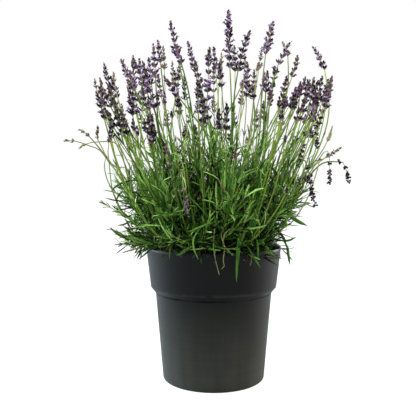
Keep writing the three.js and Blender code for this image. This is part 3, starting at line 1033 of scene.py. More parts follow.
# what is added to a leaf's tone at the soil, halfway up, at the top, and inside near the crown: painted
# shade low down and inside, painted light at the top
PAINTED_SOIL_SHADE, PAINTED_MIDDLE_SHADE, PAINTED_TOP_LIGHT, PAINTED_HEART_SHADE = -0.28, -0.01, 0.19, -0.46


def painted_shade_and_light(points):
    """Painted shade inside the bush and close to the soil, and painted light at the top."""
    reach, height = np.hypot(points[:, 0], points[:, 1]), points[:, 2]
    inside = np.interp(reach, [0.04, 0.11], [1, 0]) * np.interp(height, [0.28, 0.40], [1, 0.2])
    outside = np.interp(height, [0.235, 0.29, 0.40], [PAINTED_SOIL_SHADE, PAINTED_MIDDLE_SHADE, PAINTED_TOP_LIGHT])
    return outside + PAINTED_HEART_SHADE * inside


# %% Place leaves
rng = np.random.default_rng(41)


def place_leaves(bunch, feet, ahead, out, tilt, size, tone, thin):
    """Leaves at these feet. Higher up there are fewer, because the flower stems take over."""
    if thin:
        share_kept = np.interp(feet[:, 2], [THIN_FROM, BARE_ABOVE], [1.0, 0.12])
        kept = rng.random(len(feet)) < share_kept
        if not kept.any():
            return
        feet, ahead, out, tilt = feet[kept], ahead[kept], out[kept], tilt[kept]
        size = np.broadcast_to(size, len(kept))[kept]
    count = len(feet)
    size = np.broadcast_to(size, count) * rng.uniform(0.65, 1.2, count)
    point = ahead * np.cos(tilt) + out * np.sin(tilt)
    upper = ahead * np.sin(tilt) - out * np.cos(tilt) + rng.normal(0, 0.3, (count, 3))
    bend, twist = rng.normal(0.2, 0.55, count), rng.normal(0, 0.7, count)
    # a leaf's random tone plus the painted shade and light of where it stands
    shade = np.clip(rng.normal(tone, 0.36, count) + painted_shade_and_light(feet), 0, 1)
    age = np.where(rng.random(count) < 0.015, rng.uniform(0.5, 1, count), 0)
    for shape, these in ((small_leaf_shape, size < 0.55), (leaf_shape, size >= 0.55)):
        if these.any():
            long = size[these]
            places = copies_of(shape, feet[these], point[these], upper[these], length=long,
                               width=0.4 + 0.6 * long, bend=bend[these], twist=twist[these])
            bunch.add(shape, places, LEAF, shade[these], age[these])


# %% Dress a twig with pairs of leaves
# from the foot of a twig to its tip: the share of its length, then the leaves' size and lean
LEAF_SIZES = ((0, 0.15, 0.6, 0.9, 1), (0.7, 0.95, 1.0, 0.75, 0.45))
LEAF_LEANS = ((0, 0.5, 0.88, 1), (0.95, 0.68, 0.42, 0.18))
CORNER_LEAVES = 0.3


def dress(bunch, line, bare, spacing, longest, tone, spread=1.0, thin=True):
    """Pairs of leaves from `bare` metres above the foot to the tip of the line."""
    length = length_of(line)
    marks = np.arange(bare, length, spacing)
    if len(marks) == 0:
        return
    marks = np.clip(marks + rng.normal(0, 0.25 * spacing, len(marks)), 0, length - 0.2 * MM)
    share = marks / length
    at = share * (len(line) - 1)
    ahead, side, over = (sample(axes, at) for axes in axes_along(line))
    start = rng.uniform(0, math.tau)
    turns = start + np.arange(len(marks)) * math.pi / 2 + rng.normal(0, 0.35, len(marks))
    size = np.interp(share, *LEAF_SIZES) * longest / leaf_shape.length
    lean = np.interp(share, *LEAF_LEANS) * spread
    for opposite in (0, math.pi):
        angle = turns + opposite
        out = side * np.cos(angle)[:, None] + over * np.sin(angle)[:, None]
        tilt = (lean * rng.uniform(0.5, 1.35, len(marks)))[:, None]
        feet = sample(line, at) + out * 0.8 * MM
        place_leaves(bunch, feet, ahead, out, tilt, size, tone, thin)
        small = rng.random(len(marks)) < CORNER_LEAVES
        if small.any():
            short = size[small] * rng.uniform(0.3, 0.6, small.sum())
            feet = (sample(line, at) + out * 1.1 * MM)[small]
            place_leaves(bunch, feet, ahead[small], out[small], 0.55 * tilt[small], short,
                         tone + 0.1, thin)


# %% Let a twig grow towards the light
def twig_line(foot, heading, length, lift, sway=0.05):
    """A twig that leaves its foot in one direction and slowly turns up towards the light."""
    step = 4 * MM
    points, heading = [np.asarray(foot, float)], unit(heading)
    for _ in range(max(3, int(length / step))):
        heading = unit(heading + lift * np.array((0, 0, 1)) + rng.normal(0, sway, 3))
        points.append(points[-1] + heading * step)
    return smooth_line(points)


# %% [markdown]
# ## Leafy shoots
#
# Each shoot is a woody twig on the frame's line, with up to twenty green side twigs that turn up
# towards the light. It takes the place of the frame's solid tufts, which are hidden.

# %% Build one leafy shoot
# each side twig is turned by this much against the one before, so that none stands over another
GOLDEN_TURN = 2.4
TWIG_LENGTHS = (58, 112)


def leafy_shoot(line, twigs, lift, first_turn, bare=0.25, longest=41 * MM, reach=1.0):
    """A bunch with a woody twig on the line and green side twigs. Also gives the twigs' tips.
    lift: how strongly the side twigs turn up at each step."""
    bunch, tips = Bunch(), []
    length = length_of(line)
    half = len(line) // 2
    bunch.add(round_rod, carried(round_rod, line[:half + 1], [3.0 * MM, 2.2 * MM, 1.5 * MM]), BARK)
    bunch.add(round_rod, carried(round_rod, line[half:], [1.5 * MM, 1.3 * MM, 1.0 * MM]), STEM, 0.3)
    dress(bunch, line, bare * length, 9 * MM, longest, 0.45)
    # dark leaves close to the wood, whose low tone is a painted shade inside the bush
    dress(bunch, line[:half], 6 * MM, 6 * MM, 1.2 * longest, 0.12, 1.4)
    ahead, side, over = axes_along(line)
    for index in range(twigs):
        share = 0.10 + 0.84 * (index + rng.uniform(0, 0.8)) / twigs
        at = min(int(share * (len(line) - 1)), len(line) - 1)
        turn = index * GOLDEN_TURN + first_turn
        out = side[at] * math.cos(turn) + over[at] * math.sin(turn)
        heading = ahead[at] * 0.8 + out * rng.uniform(0.4, 1.0)
        run = rng.uniform(*TWIG_LENGTHS) * MM * (1.05 - 0.35 * share) * reach
        twig = twig_line(line[at], heading, run, lift, 0.08)
        bunch.add(twig_rod, carried(twig_rod, twig, [1.3 * MM, 0.9 * MM, 0.7 * MM]), STEM,
                  rng.uniform(0.1, 0.7))
        tone = 0.30 + 0.15 * share + rng.normal(0, 0.16)
        dress(bunch, twig, 8 * MM, 10 * MM, rng.uniform(0.75, 1.15) * longest, tone)
        tips.append((twig[-1], unit(twig[-1] - twig[-4])))
    return bunch, tips


# %% Grow the leafy shoots
# the last shoot that a row holds for, its number of side twigs, and their lift
SHOOT_KINDS = ((8, 20, 0.13), (14, 17, 0.10), (16, 17, 0.05))
shoot_tips = []
for number, name in enumerate(shoot_names, 1):
    twigs, lift = next(row[1:] for row in SHOOT_KINDS if number <= row[0])
    bunch, tips = leafy_shoot(shoot_lines[name], twigs, lift, number)
    shoot_tips += tips
    piece = bunch.write(f"leaves_{number:02d}")
    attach(piece, "root")
    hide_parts(name)
print("leafy shoots:", len(shoot_names), "with", len(shoot_tips), "side twigs")

# %% [markdown]
# ### The skirt
#
# The lowest twigs lie over the rim and hide the soil. Their leaves point outwards, and a few
# hang down over the collar. They are short, so they are grown straight from the crown.

# %% Grow the skirt over the rim
SKIRTS = 16
# The plant leans to one side: how far the skirt reaches at each eighth of a turn, in mm.
SKIRT_REACH = (112, 122, 140, 150, 162, 146, 128, 116, 112)
ABOVE_RIM = POT_TOP * MM + 7 * MM
for index in range(SKIRTS):
    part = (index + rng.uniform(-0.3, 0.3)) / SKIRTS % 1
    way = np.array((math.cos(math.tau * part), math.sin(math.tau * part), 0))
    far = np.interp(8 * part, range(9), SKIRT_REACH) * MM * rng.uniform(0.93, 1.03)
    marks = ((0.02, 0.236), (0.05, 0.248), (0.7 * far, ABOVE_RIM + rng.uniform(0, 0.012)),
             (far, ABOVE_RIM + rng.uniform(-0.004, 0.030)))
    line = smooth_line([way * reach + np.array((0, 0, height)) for reach, height in marks])
    bunch, _ = leafy_shoot(line, 10, 0.06, index * 1.7, 0.35, 36 * MM, reach=0.62)
    piece = bunch.write(f"skirt_{index + 1:02d}")
    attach(piece, "root")
print("skirt twigs:", SKIRTS)

# %% [markdown]
# ### Leaves and twigs that stand out
#
# Single leaves and twigs give this plant its outline: long leaves that hang over the rim, leaves
# that curl out on the left, and bent dry twigs in front. They are too few and too different to
# be left to chance, so each has its own row of points, from inside the plant to its tip, in mm.

# %% Leaves that hang over the rim
# half width in mm, tone, points, and the age of a leaf that is drying
HANGING_LEAVES = [
    (1.75, 0.52, [(37, -104, 262), (38, -122, 258), (37, -130, 236), (36, -124, 191)]),
    (1.35, 0.45, [(40, -102, 266), (41, -120, 264), (40, -129, 250), (39, -127, 219)]),
    (1.45, 0.4, [(46, -100, 252), (54, -116, 246), (62, -123, 232), (74, -122, 213)]),
    (1.2, 0.5, [(66, -92, 262), (68, -108, 258), (70, -118, 247), (70, -121, 228)]),
    (2.2, 0.5, [(108, -26, 246), (119, -25, 248), (128, -24, 237), (131, -22, 222),
                (134, -20, 203)]),
    (3.3, 0.56, [(98, -56, 296), (113, -60, 303), (128, -60, 292), (141, -60, 283),
                 (158, -60, 275)]),
    (1.9, 0.1, [(96, -52, 264), (105, -60, 270), (112, -62, 262), (118, -63, 254),
                (122, -65, 245)]),
    (1.7, 0.5, [(98, -50, 246), (112, -60, 250), (123, -62, 250), (130, -63, 252),
                (138, -65, 257)]),
    (0.8, 0.15, [(96, -48, 276), (116, -50, 281), (129, -53, 276), (144, -55, 275)]),
    (2.0, 0.52, [(64, -84, 256), (74, -98, 254), (86, -101, 242), (92, -102, 234),
                 (101, -101, 228)]),
    (0.8, 0.3, [(100, -56, 290), (117, -60, 295), (125, -60, 302), (132, -60, 304),
                (139, -60, 308)]),
    (0.8, 0.35, [(100, -64, 300), (117, -70, 309), (127, -70, 317), (135, -70, 319),
                 (143, -70, 319)]),
    (1.0, 0.15, [(96, -46, 256), (106, -50, 257), (116, -52, 254), (121, -53, 247),
                 (124, -55, 244)]),
    (1.2, 0.8, [(-14, -112, 282), (-22, -124, 274), (-31, -128, 260), (-31, -129, 245),
                (-24, -128, 227)]),
    (1.2, 1.0, [(5, -135, 292), (5, -146, 313), (4, -152, 328), (4, -156, 351)]),
    (1.5, 0.62, [(14, -130, 288), (-5, -142, 285), (-21, -148, 279), (-36, -152, 273)]),
    (1.1, 0.75, [(4, -130, 293), (7, -142, 302), (16, -150, 313), (29, -156, 324)]),
    (0.8, 0.6, [(-2, -130, 284), (-5, -142, 290), (-18, -146, 306), (-40, -150, 329)]),
    (1.1, 0.45, [(-30, -108, 244), (-36, -120, 246), (-46, -124, 245), (-59, -126, 251)], 0.1),
    (1.2, 0.55, [(-28, -112, 250), (-34, -124, 247), (-45, -128, 239), (-58, -129, 233)], 0.1),
    (1.2, 0.85, [(-88, -112, 290), (-80, -124, 277), (-73, -128, 267), (-64, -130, 256)]),
    (1.1, 0.4, [(-56, -110, 292), (-69, -124, 279), (-80, -126, 262), (-88, -124, 247)]),
]
print("hanging leaves:", len(HANGING_LEAVES))

# %% Leaves that curl out on the left
# half width in mm, tone, points. The last one hangs down beside the rest of the fringe.
CURLING_LEAVES = [
    (1.8, 0.34, [(-118, -45, 238), (-135, -45, 244), (-144, -47, 251), (-156, -48, 255),
                 (-173, -50, 266)]),
    (2.0, 0.12, [(-110, -48, 254), (-125, -50, 251), (-134, -50, 245), (-142, -50, 243),
                 (-150, -50, 241)]),
    (1.8, 0.25, [(-112, -48, 252), (-127, -50, 245), (-135, -53, 239), (-140, -55, 236)]),
    (1.6, 0.05, [(-108, -50, 250), (-119, -54, 248), (-122, -56, 238), (-124, -58, 229),
                 (-130, -60, 218)]),
    (1.4, 0.08, [(-108, -48, 246), (-122, -50, 240), (-128, -52, 236), (-131, -53, 232),
                 (-135, -55, 227)]),
    (1.2, 0.12, [(-130, -40, 312), (-150, -40, 316), (-168, -42, 317), (-186, -45, 322)]),
    (1.4, 0.16, [(-126, -46, 300), (-142, -50, 304), (-155, -50, 302), (-165, -50, 303),
                 (-174, -50, 310)]),
    (1.9, 0.3, [(-122, -48, 350), (-138, -50, 351), (-155, -50, 347), (-166, -50, 341),
                (-174, -50, 333)]),
    (1.9, 0.34, [(-104, -50, 318), (-118, -55, 325), (-131, -55, 330), (-151, -55, 337),
                 (-168, -55, 342)]),
    (1.5, 0.25, [(-166, -50, 312), (-164, -50, 320), (-161, -50, 327), (-154, -50, 333)]),
    (1.4, 0.18, [(-126, -48, 284), (-142, -50, 281), (-154, -50, 276), (-164, -50, 275)]),
    (1.6, 0.15, [(-112, -50, 308), (-126, -55, 313), (-138, -55, 318), (-146, -55, 322),
                 (-155, -55, 326)]),
    (1.6, 0.4, [(-116, -48, 268), (-132, -50, 261), (-149, -48, 256), (-162, -47, 262),
                (-168, -45, 269)]),
    (1.5, 0.35, [(-120, -48, 290), (-135, -50, 294), (-146, -50, 290), (-156, -50, 294),
                 (-165, -50, 302)]),
    (1.2, 0.35, [(-60, -92, 252), (-64, -108, 250), (-68, -118, 244), (-70, -121, 226)]),
]
print("curling leaves:", len(CURLING_LEAVES))

# %% Bent dry twigs in front
# tone, age, points
DRY_TWIGS = [
    (0.12, 0.45, [(4, -60, 262), (3, -100, 274), (1, -122, 268), (0, -131, 246), (4, -128, 222),
                  (9, -127, 203)]),
    (0.2, 0.45, [(20, -60, 258), (16, -104, 270), (12, -124, 264), (17, -130, 245), (15, -127, 226),
                 (17, -127, 217), (13, -127, 212)]),
    (0.15, 0.5, [(30, -70, 262), (30, -118, 276), (18, -132, 268), (15, -130, 252), (24, -126, 240),
                 (30, -125, 233)]),
]
print("dry twigs:", len(DRY_TWIGS))

# %% [markdown]
# Shoots reach out past the rim with leaves along their outer part. Sprigs stand up between the
# flower stems. Both are green twigs that get their pairs of leaves by the same rule as above.

# %% Shoots that reach out past the rim
# length of the leaves in mm, tone, points
SHOOTS = [
    (20, 0.62, [(-60, -30, 240), (-109, -50, 262), (-150, -52, 290), (-193, -50, 316)]),
    (22, 0.42, [(-50, -40, 238), (-106, -80, 246), (-140, -70, 254), (-174, -60, 270)]),
    (24, 0.4, [(-60, -10, 240), (-110, -20, 280), (-150, -24, 312), (-183, -20, 342)]),
    (18, 0.3, [(-60, 0, 240), (-105, -24, 244), (-128, -30, 242), (-145, -30, 229)]),
    (22, 0.34, [(-60, -20, 240), (-110, -40, 250), (-136, -50, 252), (-158, -50, 241)]),
    (24, 0.36, [(-50, 10, 240), (-112, 16, 262), (-150, 20, 280), (-176, 24, 300)]),
    (30, 0.16, [(-50, 30, 240), (-96, 40, 270), (-116, 44, 300), (-126, 46, 340)]),
    (30, 0.16, [(-50, 40, 240), (-80, 70, 270), (-100, 80, 300), (-118, 84, 330)]),
    (30, 0.2, [(-60, 20, 240), (-110, 30, 256), (-136, 34, 280), (-150, 36, 310)]),
    (30, 0.24, [(-60, 0, 240), (-106, 6, 270), (-126, 8, 300), (-138, 8, 336)]),
    (30, 0.16, [(-60, 50, 240), (-110, 70, 258), (-130, 76, 280), (-140, 80, 300)]),
    (30, 0.16, [(50, 30, 240), (96, 40, 270), (112, 44, 300), (120, 46, 340)]),
    (30, 0.16, [(50, 50, 240), (86, 70, 262), (104, 80, 290), (112, 84, 320)]),
    (26, 0.3, [(-50, -30, 240), (-100, -60, 256), (-124, -64, 262), (-140, -60, 258)]),
    (26, 0.3, [(-50, 0, 240), (-110, -10, 262), (-136, -10, 266), (-156, -6, 262)]),
    (28, 0.36, [(-50, -20, 240), (-104, -30, 280), (-130, -40, 306), (-150, -44, 330)]),
    (26, 0.42, [(-50, -20, 250), (-94, -40, 300), (-120, -50, 340), (-134, -50, 372)]),
    (26, 0.36, [(50, -10, 240), (100, -10, 270), (118, -10, 300), (130, -8, 330)]),
    (26, 0.36, [(50, -30, 240), (96, -50, 262), (118, -60, 280), (132, -60, 296)]),
]
FRONT_SHOOTS = [
    (24, 0.62, [(-20, -50, 240), (-60, -110, 256), (-84, -124, 262), (-96, -134, 276)]),
    (26, 0.72, [(0, -50, 240), (20, -118, 262), (44, -136, 290), (58, -142, 322)]),
    (24, 0.7, [(20, -50, 240), (60, -112, 256), (72, -124, 276), (64, -132, 306)]),
    (24, 0.62, [(-10, -50, 240), (-14, -120, 262), (-6, -142, 292), (14, -150, 318)]),
]
print("shoots:", len(SHOOTS) + len(FRONT_SHOOTS))

# %% Sprigs that stand up between the flower stems
# length of the leaves in mm, tone, points
SPRIGS = [
    (27, 0.3, [(-4, -70, 300), (-6, -100, 370), (-4, -120, 432)]),
    (24, 0.36, [(-30, -60, 300), (-42, -90, 360), (-50, -100, 412)]),
    (26, 0.4, [(24, -60, 300), (32, -90, 360), (38, -110, 420)]),
    (24, 0.36, [(50, -50, 300), (68, -80, 350), (86, -90, 410)]),
    (24, 0.34, [(-60, -40, 300), (-84, -60, 350), (-100, -70, 398)]),
    (24, 0.36, [(60, -30, 290), (96, -50, 330), (120, -60, 376)]),
    (24, 0.32, [(-60, -20, 290), (-104, -40, 330), (-128, -40, 370)]),
    (22, 0.45, [(8, -40, 330), (14, -50, 400), (18, -50, 446)]),
    (24, 0.4, [(30, 30, 330), (40, 50, 400), (44, 60, 430)]),
    (24, 0.4, [(-30, 40, 330), (-44, 70, 390), (-50, 80, 424)]),
    (24, 0.4, [(60, 60, 300), (84, 90, 350), (96, 100, 396)]),
    (24, 0.4, [(-60, 60, 300), (-84, 90, 350), (-90, 100, 396)]),
    (24, 0.4, [(0, 80, 300), (0, 110, 360), (4, 120, 416)]),
]
print("sprigs:", len(SPRIGS))

# %% [markdown]
# All of them are dealt out in turn over four pieces, so that each piece stays small.

# %% Grow what stands out
BLADE_FACING = (0.1, -0.9, 0.45)


def single_leaf(bunch, half_width, tone, points, age=0.0):
    """One long leaf: a narrow stalk, widest two thirds along, with a fine tip."""
    half = half_width * MM
    widths = [0.5 * MM, 0.5 * MM, 0.7 * half, half, 1.15 * half, half, 0.2 * MM]
    line = smooth_line(np.array(points) * MM)
    bunch.add(blade_rod, carried(blade_rod, line, widths, BLADE_FACING), LEAF, tone, age)


def dry_twig(bunch, tone, age, points):
    """A bare twig that gets thinner towards its tip."""
    line = smooth_line(np.array(points) * MM)
    widths = [1.2 * MM, 0.9 * MM, 0.8 * MM, 0.6 * MM]
    bunch.add(round_rod, carried(round_rod, line, widths), STEM, tone, age)


def green_twig(bunch, size, tone, points, bare=0.35, thin=True):
    """A twig with pairs of leaves above its bare foot."""
    line = smooth_line(np.array(points) * MM)
    widths = [1.3 * MM, 1.0 * MM, 0.7 * MM]
    bunch.add(round_rod, carried(round_rod, line, widths), STEM, tone)
    dress(bunch, line, bare * length_of(line), 9 * MM, size * MM, tone, 1.0, thin)


def sprig(bunch, size, tone, points):
    """A green twig whose lower half is bare and whose upper half keeps all its leaves."""
    green_twig(bunch, size, tone, points, 0.5, False)


standing_out = [(single_leaf, row) for row in HANGING_LEAVES + CURLING_LEAVES]
standing_out += [(dry_twig, row) for row in DRY_TWIGS]
standing_out += [(green_twig, row) for row in SHOOTS]
standing_out += [(sprig, row) for row in SPRIGS]
standing_out += [(green_twig, row) for row in FRONT_SHOOTS]
groups = [Bunch() for _ in range(4)]
for index, (make, row) in enumerate(standing_out):
    make(groups[index % 4], *row)
for index, bunch in enumerate(groups, 1):
    piece = bunch.write(f"outliers_{index}")
    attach(piece, "root")
print("leaves and twigs that stand out:", len(standing_out))

# %% [markdown]
# ## Flower stems
#
# A stem is square and leafless but for a pair or two of leaves low down. Its flowers stand in
# whorls: close together at the tip, further apart below, and often one whorl alone well under
# the rest. Each whorl has a pair of papery bracts under it.

# %% One whorl of calyces
# from the tip of a spike down: the distance in mm, then the number of calyces in a whorl, how
# far they lean out, and their size
WHORL_COUNTS = ((0, 8, 20, 60), (5, 7, 8, 6))
CALYX_LEANS = ((0, 8, 18, 50), (0.28, 0.62, 0.92, 1.08))
CALYX_SIZES = ((0, 9, 26, 80), (0.58, 0.80, 1.02, 1.12))


def ring(across, around, turns):
    """Directions that stand out from a stem at these turns."""
    return across * np.cos(turns)[:, None] + around * np.sin(turns)[:, None]


def whorl(bunch, middle, axis, across, around, mark, plump, mood, age, style):
    """One ring of calyces. Gives their feet, directions and sizes.
    style: open ones lean out, balls are small, round and dark, buds are green, and closed ones
    stay near the stem and widen down the spike."""
    below = mark / MM
    count = int(np.interp(below, *WHORL_COUNTS) + rng.integers(0, 2))
    start = rng.uniform(0, math.tau)
    turns = start + np.arange(count) * math.tau / count + rng.normal(0, 0.22, count)
    out = ring(across, around, turns)
    tilt = np.interp(below, *CALYX_LEANS) * rng.uniform(0.6, 1.25, count)
    size = plump * np.interp(below, *CALYX_SIZES) * rng.uniform(0.78, 1.12, count)
    width = 1.14 * size
    if style == "ball":
        tilt = rng.uniform(0.3, 2.3, count)
        size = plump * rng.uniform(0.42, 0.62, count)
        width = np.full(count, 1.15 * plump)
        mood = -0.22
    if style == "bud":
        tilt, size = 0.5 * tilt, 0.8 * size
    if style == "closed":
        tilt = rng.uniform(0.40, 0.70, count)
        size = np.full(count, 0.70 * plump)
        width = size * np.interp(below, [0, 20], [1.0, 2.0])
        mood = 0.0
    tilt = tilt[:, None]
    point = axis * np.cos(tilt) + out * np.sin(tilt)
    feet = middle + out * 0.5 * MM + axis * rng.normal(0, 0.9 * MM, (count, 1))
    # mood carries a spike's painted shade by height, or the own tone of a style
    tone = np.clip(rng.normal(0.42 + mood, 0.28, count), 0, 1)
    places = copies_of(calyx_shape, feet, point, -out, size, width, -0.5)
    bunch.add(calyx_shape, places, STEM if style == "bud" else CALYX, tone, age)
    return feet, point, size


# %% Open flowers and bracts
CALYX_MOUTH = 7.0 * MM


def open_flowers(bunch, feet, point, size, axis):
    """Petals in the mouths of these calyces."""
    mouths = feet + point * (CALYX_MOUTH * size)[:, None]
    mouths += axis * 1.8 * MM
    lean = unit(point + axis * 0.9 + rng.normal(0, 0.2, (len(feet), 3)))
    wide = 0.95 * size
    places = copies_of(corolla_shape, mouths, lean, axis - lean * 0.1, 0.9 * wide, wide)
    bunch.add(corolla_shape, places, PETAL, rng.random(len(feet)))


def bracts(bunch, middle, axis, across, around, plump):
    """The pair of papery bracts under a whorl."""
    pair = rng.uniform(0, math.tau) + np.array((0, math.pi))
    out = ring(across, around, pair)
    feet = middle + out * 0.5 * MM - axis * 1.2 * MM
    places = copies_of(bract_shape, feet, axis * 0.6 + out * 0.8, axis - out, plump, plump, 0.2)
    bunch.add(bract_shape, places, STEM, 0.7, 0.85)


# %% A spike of whorls
# in mm from the tip of a spike
WHORL_MARKS = (1.5, 7.5, 15.0, 24.5, 35.0, 46.0, 57.5, 70.0, 83.0, 97.0)


def flower_spike(bunch, line, spike, age, bloom, plump, marks, style):
    """Whorls on the last `spike` metres of the line. bloom: the share of flowers that are open."""
    length = length_of(line)
    marks = np.array(marks) * MM
    marks = marks[marks < spike - 4 * MM]
    marks = np.append(marks, spike) * rng.uniform(0.93, 1.07)
    # spikes low in the plant are older and are also painted darker than those at the top, as painted shade
    mood = np.interp(line[-1][2], [0.43, 0.52, 0.60], [-0.22, -0.02, 0.05]) + rng.normal(0, 0.09)
    ahead, side, over = axes_along(line)
    for mark in marks:
        at = np.array([(1 - min(mark, 0.98 * length) / length) * (len(line) - 1)])
        middle, axis, across, around = (sample(v, at)[0] for v in (line, ahead, side, over))
        feet, point, size = whorl(bunch, middle, axis, across, around, mark, plump, mood, age, style)
        share_open = 0.8 * bloom * np.interp(mark / MM, [6, 24], [0.15, 1])
        is_open = rng.random(len(feet)) < share_open
        if is_open.any():
            open_flowers(bunch, feet[is_open], point[is_open], size[is_open], axis)
        if style == "open":
            bracts(bunch, middle, axis, across, around, plump)


# %% A whole flower stem
def stem_leaves(bunch, line, pairs, size):
    """Small pairs of leaves on the lower half of a flower stem, close to it."""
    ahead, side, over = axes_along(line)
    for share in pairs:
        at = np.array([share * (len(line) - 1)] * 2)
        turns = rng.uniform(0, math.tau) + np.array((0, math.pi))
        out = ring(sample(side, at), sample(over, at), turns)
        tilt = rng.uniform(0.25, 0.55, (2, 1))
        feet = sample(line, at) + out * 0.8 * MM
        size_here = np.full(2, size * rng.uniform(0.6, 1.0))
        place_leaves(bunch, feet, sample(ahead, at), out, tilt, size_here, 0.5, False)


def flower_stem(bunch, line, spike, age, bloom, plump, leaves, marks=WHORL_MARKS, style="open",
                stout=1.0):
    """A square stem with its spike and its few leaves. Stout stems are thicker and darker."""
    bare = 1 - min(spike / length_of(line), 0.8)
    steps = np.linspace(0, 1, 21)
    places = [0, 0.9 * bare, min(bare + 0.05, 0.98), 1]
    widths = np.interp(steps, places, [1.2, 0.92, 0.66, 0.44]) * stout * MM
    tone = float(np.clip(rng.normal(0.57 - 0.12 * stout ** 3, 0.30), 0, 1))
    bunch.add(square_rod, carried(square_rod, line[:-1], widths), STEM, tone, 0.6 * age)
    flower_spike(bunch, line, spike, age, bloom, plump, marks, style)
    stem_leaves(bunch, line, leaves, rng.uniform(0.5, 0.9))


# %% [markdown]
# ### The frame's flower stems
#
# Most flowers are just past their best: dark calyces, with a few lilac petals left. A few
# spikes have faded to grey-brown, two are densely packed, and two hang down with small dark
# whorls. Each stem of the frame is known by its number in the tables below.

# %% What each flower stem is like
# the length of each spike, in mm
SPIKES = (17, 17, 45, 20, 40, 50, 62, 58, 56, 52, 48, 40, 70, 34, 34, 62, 44, 32, 55, 44, 46,
          50, 102, 32, 110, 40, 26, 66, 32, 34, 58, 50, 30, 44, 44, 48, 52, 56, 24, 44, 59)
# how far a spike has faded: 0 is fresh and 1 is grey-brown
FADED = {1: 0.8, 2: 0.9, 4: 0.7, 39: 0.95, 31: 0.1, 33: 0.5}
# the share of its flowers that are open
BLOOM = {40: 0.0, 41: 0.0, 3: 0.2, 5: 0.35, 7: 0.5, 12: 0.2, 16: 0.25, 19: 0.45, 23: 0.5,
         25: 0.7, 31: 0.6, 35: 0.3}
# the size of its calyces against the usual
PLUMP = {1: 0.75, 2: 0.75, 4: 0.8, 16: 1.1, 20: 0.9, 22: 0.85, 23: 1.05, 25: 1.1, 28: 1.1,
         31: 1.2, 33: 0.75, 39: 0.75, 40: 1.1, 41: 1.1}
# how much is taken off a line's tip, in mm, where it is more than the usual
TRIM = {19: 12}
USUAL_BLOOM, USUAL_TRIM, FRAME_STOUT = 0.22, 3, 1.3
# the marks of the whorls where they differ from the usual: two dense spikes, two that hang
DENSE = {
    23: (1.5, 7, 13, 20, 28, 41, 56, 63, 71, 86, 102),
    25: (1.5, 7, 13, 20, 27.5, 35, 43, 51, 60, 70, 81, 95),
}
HANGING = {
    40: (2.0, 11.0, 17.0, 29.0, 42.0),
    41: (1.5, 10.0, 16.0, 22.0, 28.0, 37.0, 45.0, 59.0),
}
print("spikes, mm:", min(SPIKES), "to", max(SPIKES))

# %% [markdown]
# Four stems take another way than the frame's rods: two long ones arch over on the left, one
# hangs in front on the right, and one stands straighter. A real stem sags in a smooth curve.

# %% Stems with a line of their own
OWN_LINES = {
    1: [(-128, -30, 304), (-139, -32, 331), (-154, -34, 357), (-166, -37, 373), (-178, -39, 382),
        (-188, -41, 397), (-198, -43, 410), (-206, -46, 420), (-217, -48, 431), (-230, -50, 438)],
    2: [(-135, -30, 300), (-145, -28, 324), (-162, -26, 356), (-173, -23, 372), (-183, -21, 384),
        (-193, -19, 398), (-203, -17, 407), (-217, -15, 412), (-233, -12, 418), (-251, -10, 422),
        (-267, -8, 421)],
    23: [(-33, -2, 408), (-22, -6, 440), (-13, -10, 475), (-9.5, -12, 530), (-7, -14, 585)],
    41: [(104, -70, 300), (124, -98, 346), (133, -110, 372), (139, -117, 383), (144, -119, 381),
         (147, -121, 370), (150, -122, 358), (152, -124, 340), (155, -126, 324), (159, -127, 308)],
}
print("stems with their own line:", sorted(OWN_LINES))

# %% Grow the frame's flower stems
for number, name in enumerate(stem_names, 1):
    bunch = Bunch()
    line = stem_lines[name]
    if number in OWN_LINES:
        line = smooth_line(np.array(OWN_LINES[number]) * MM)
    line = trimmed(line, TRIM.get(number, USUAL_TRIM) * MM)
    pairs = rng.uniform((0.05, 0.25), (0.2, 0.45))
    marks = HANGING.get(number) or DENSE.get(number, WHORL_MARKS)
    flower_stem(bunch, line, SPIKES[number - 1] * MM, FADED.get(number, 0.0),
                BLOOM.get(number, USUAL_BLOOM), PLUMP.get(number, 1.0), pairs, marks,
                "ball" if number in HANGING else "open", FRAME_STOUT)
    piece = bunch.write(f"spike_{number:02d}")
    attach(piece, "root")
    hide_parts(name)
print("flower stems:", len(stem_names))

# %% [markdown]
# ### More flower stems
#
# The frame holds the stems that shape the plant's outline. A real plant has several times as
# many, and these fill its front, its inside and its back.

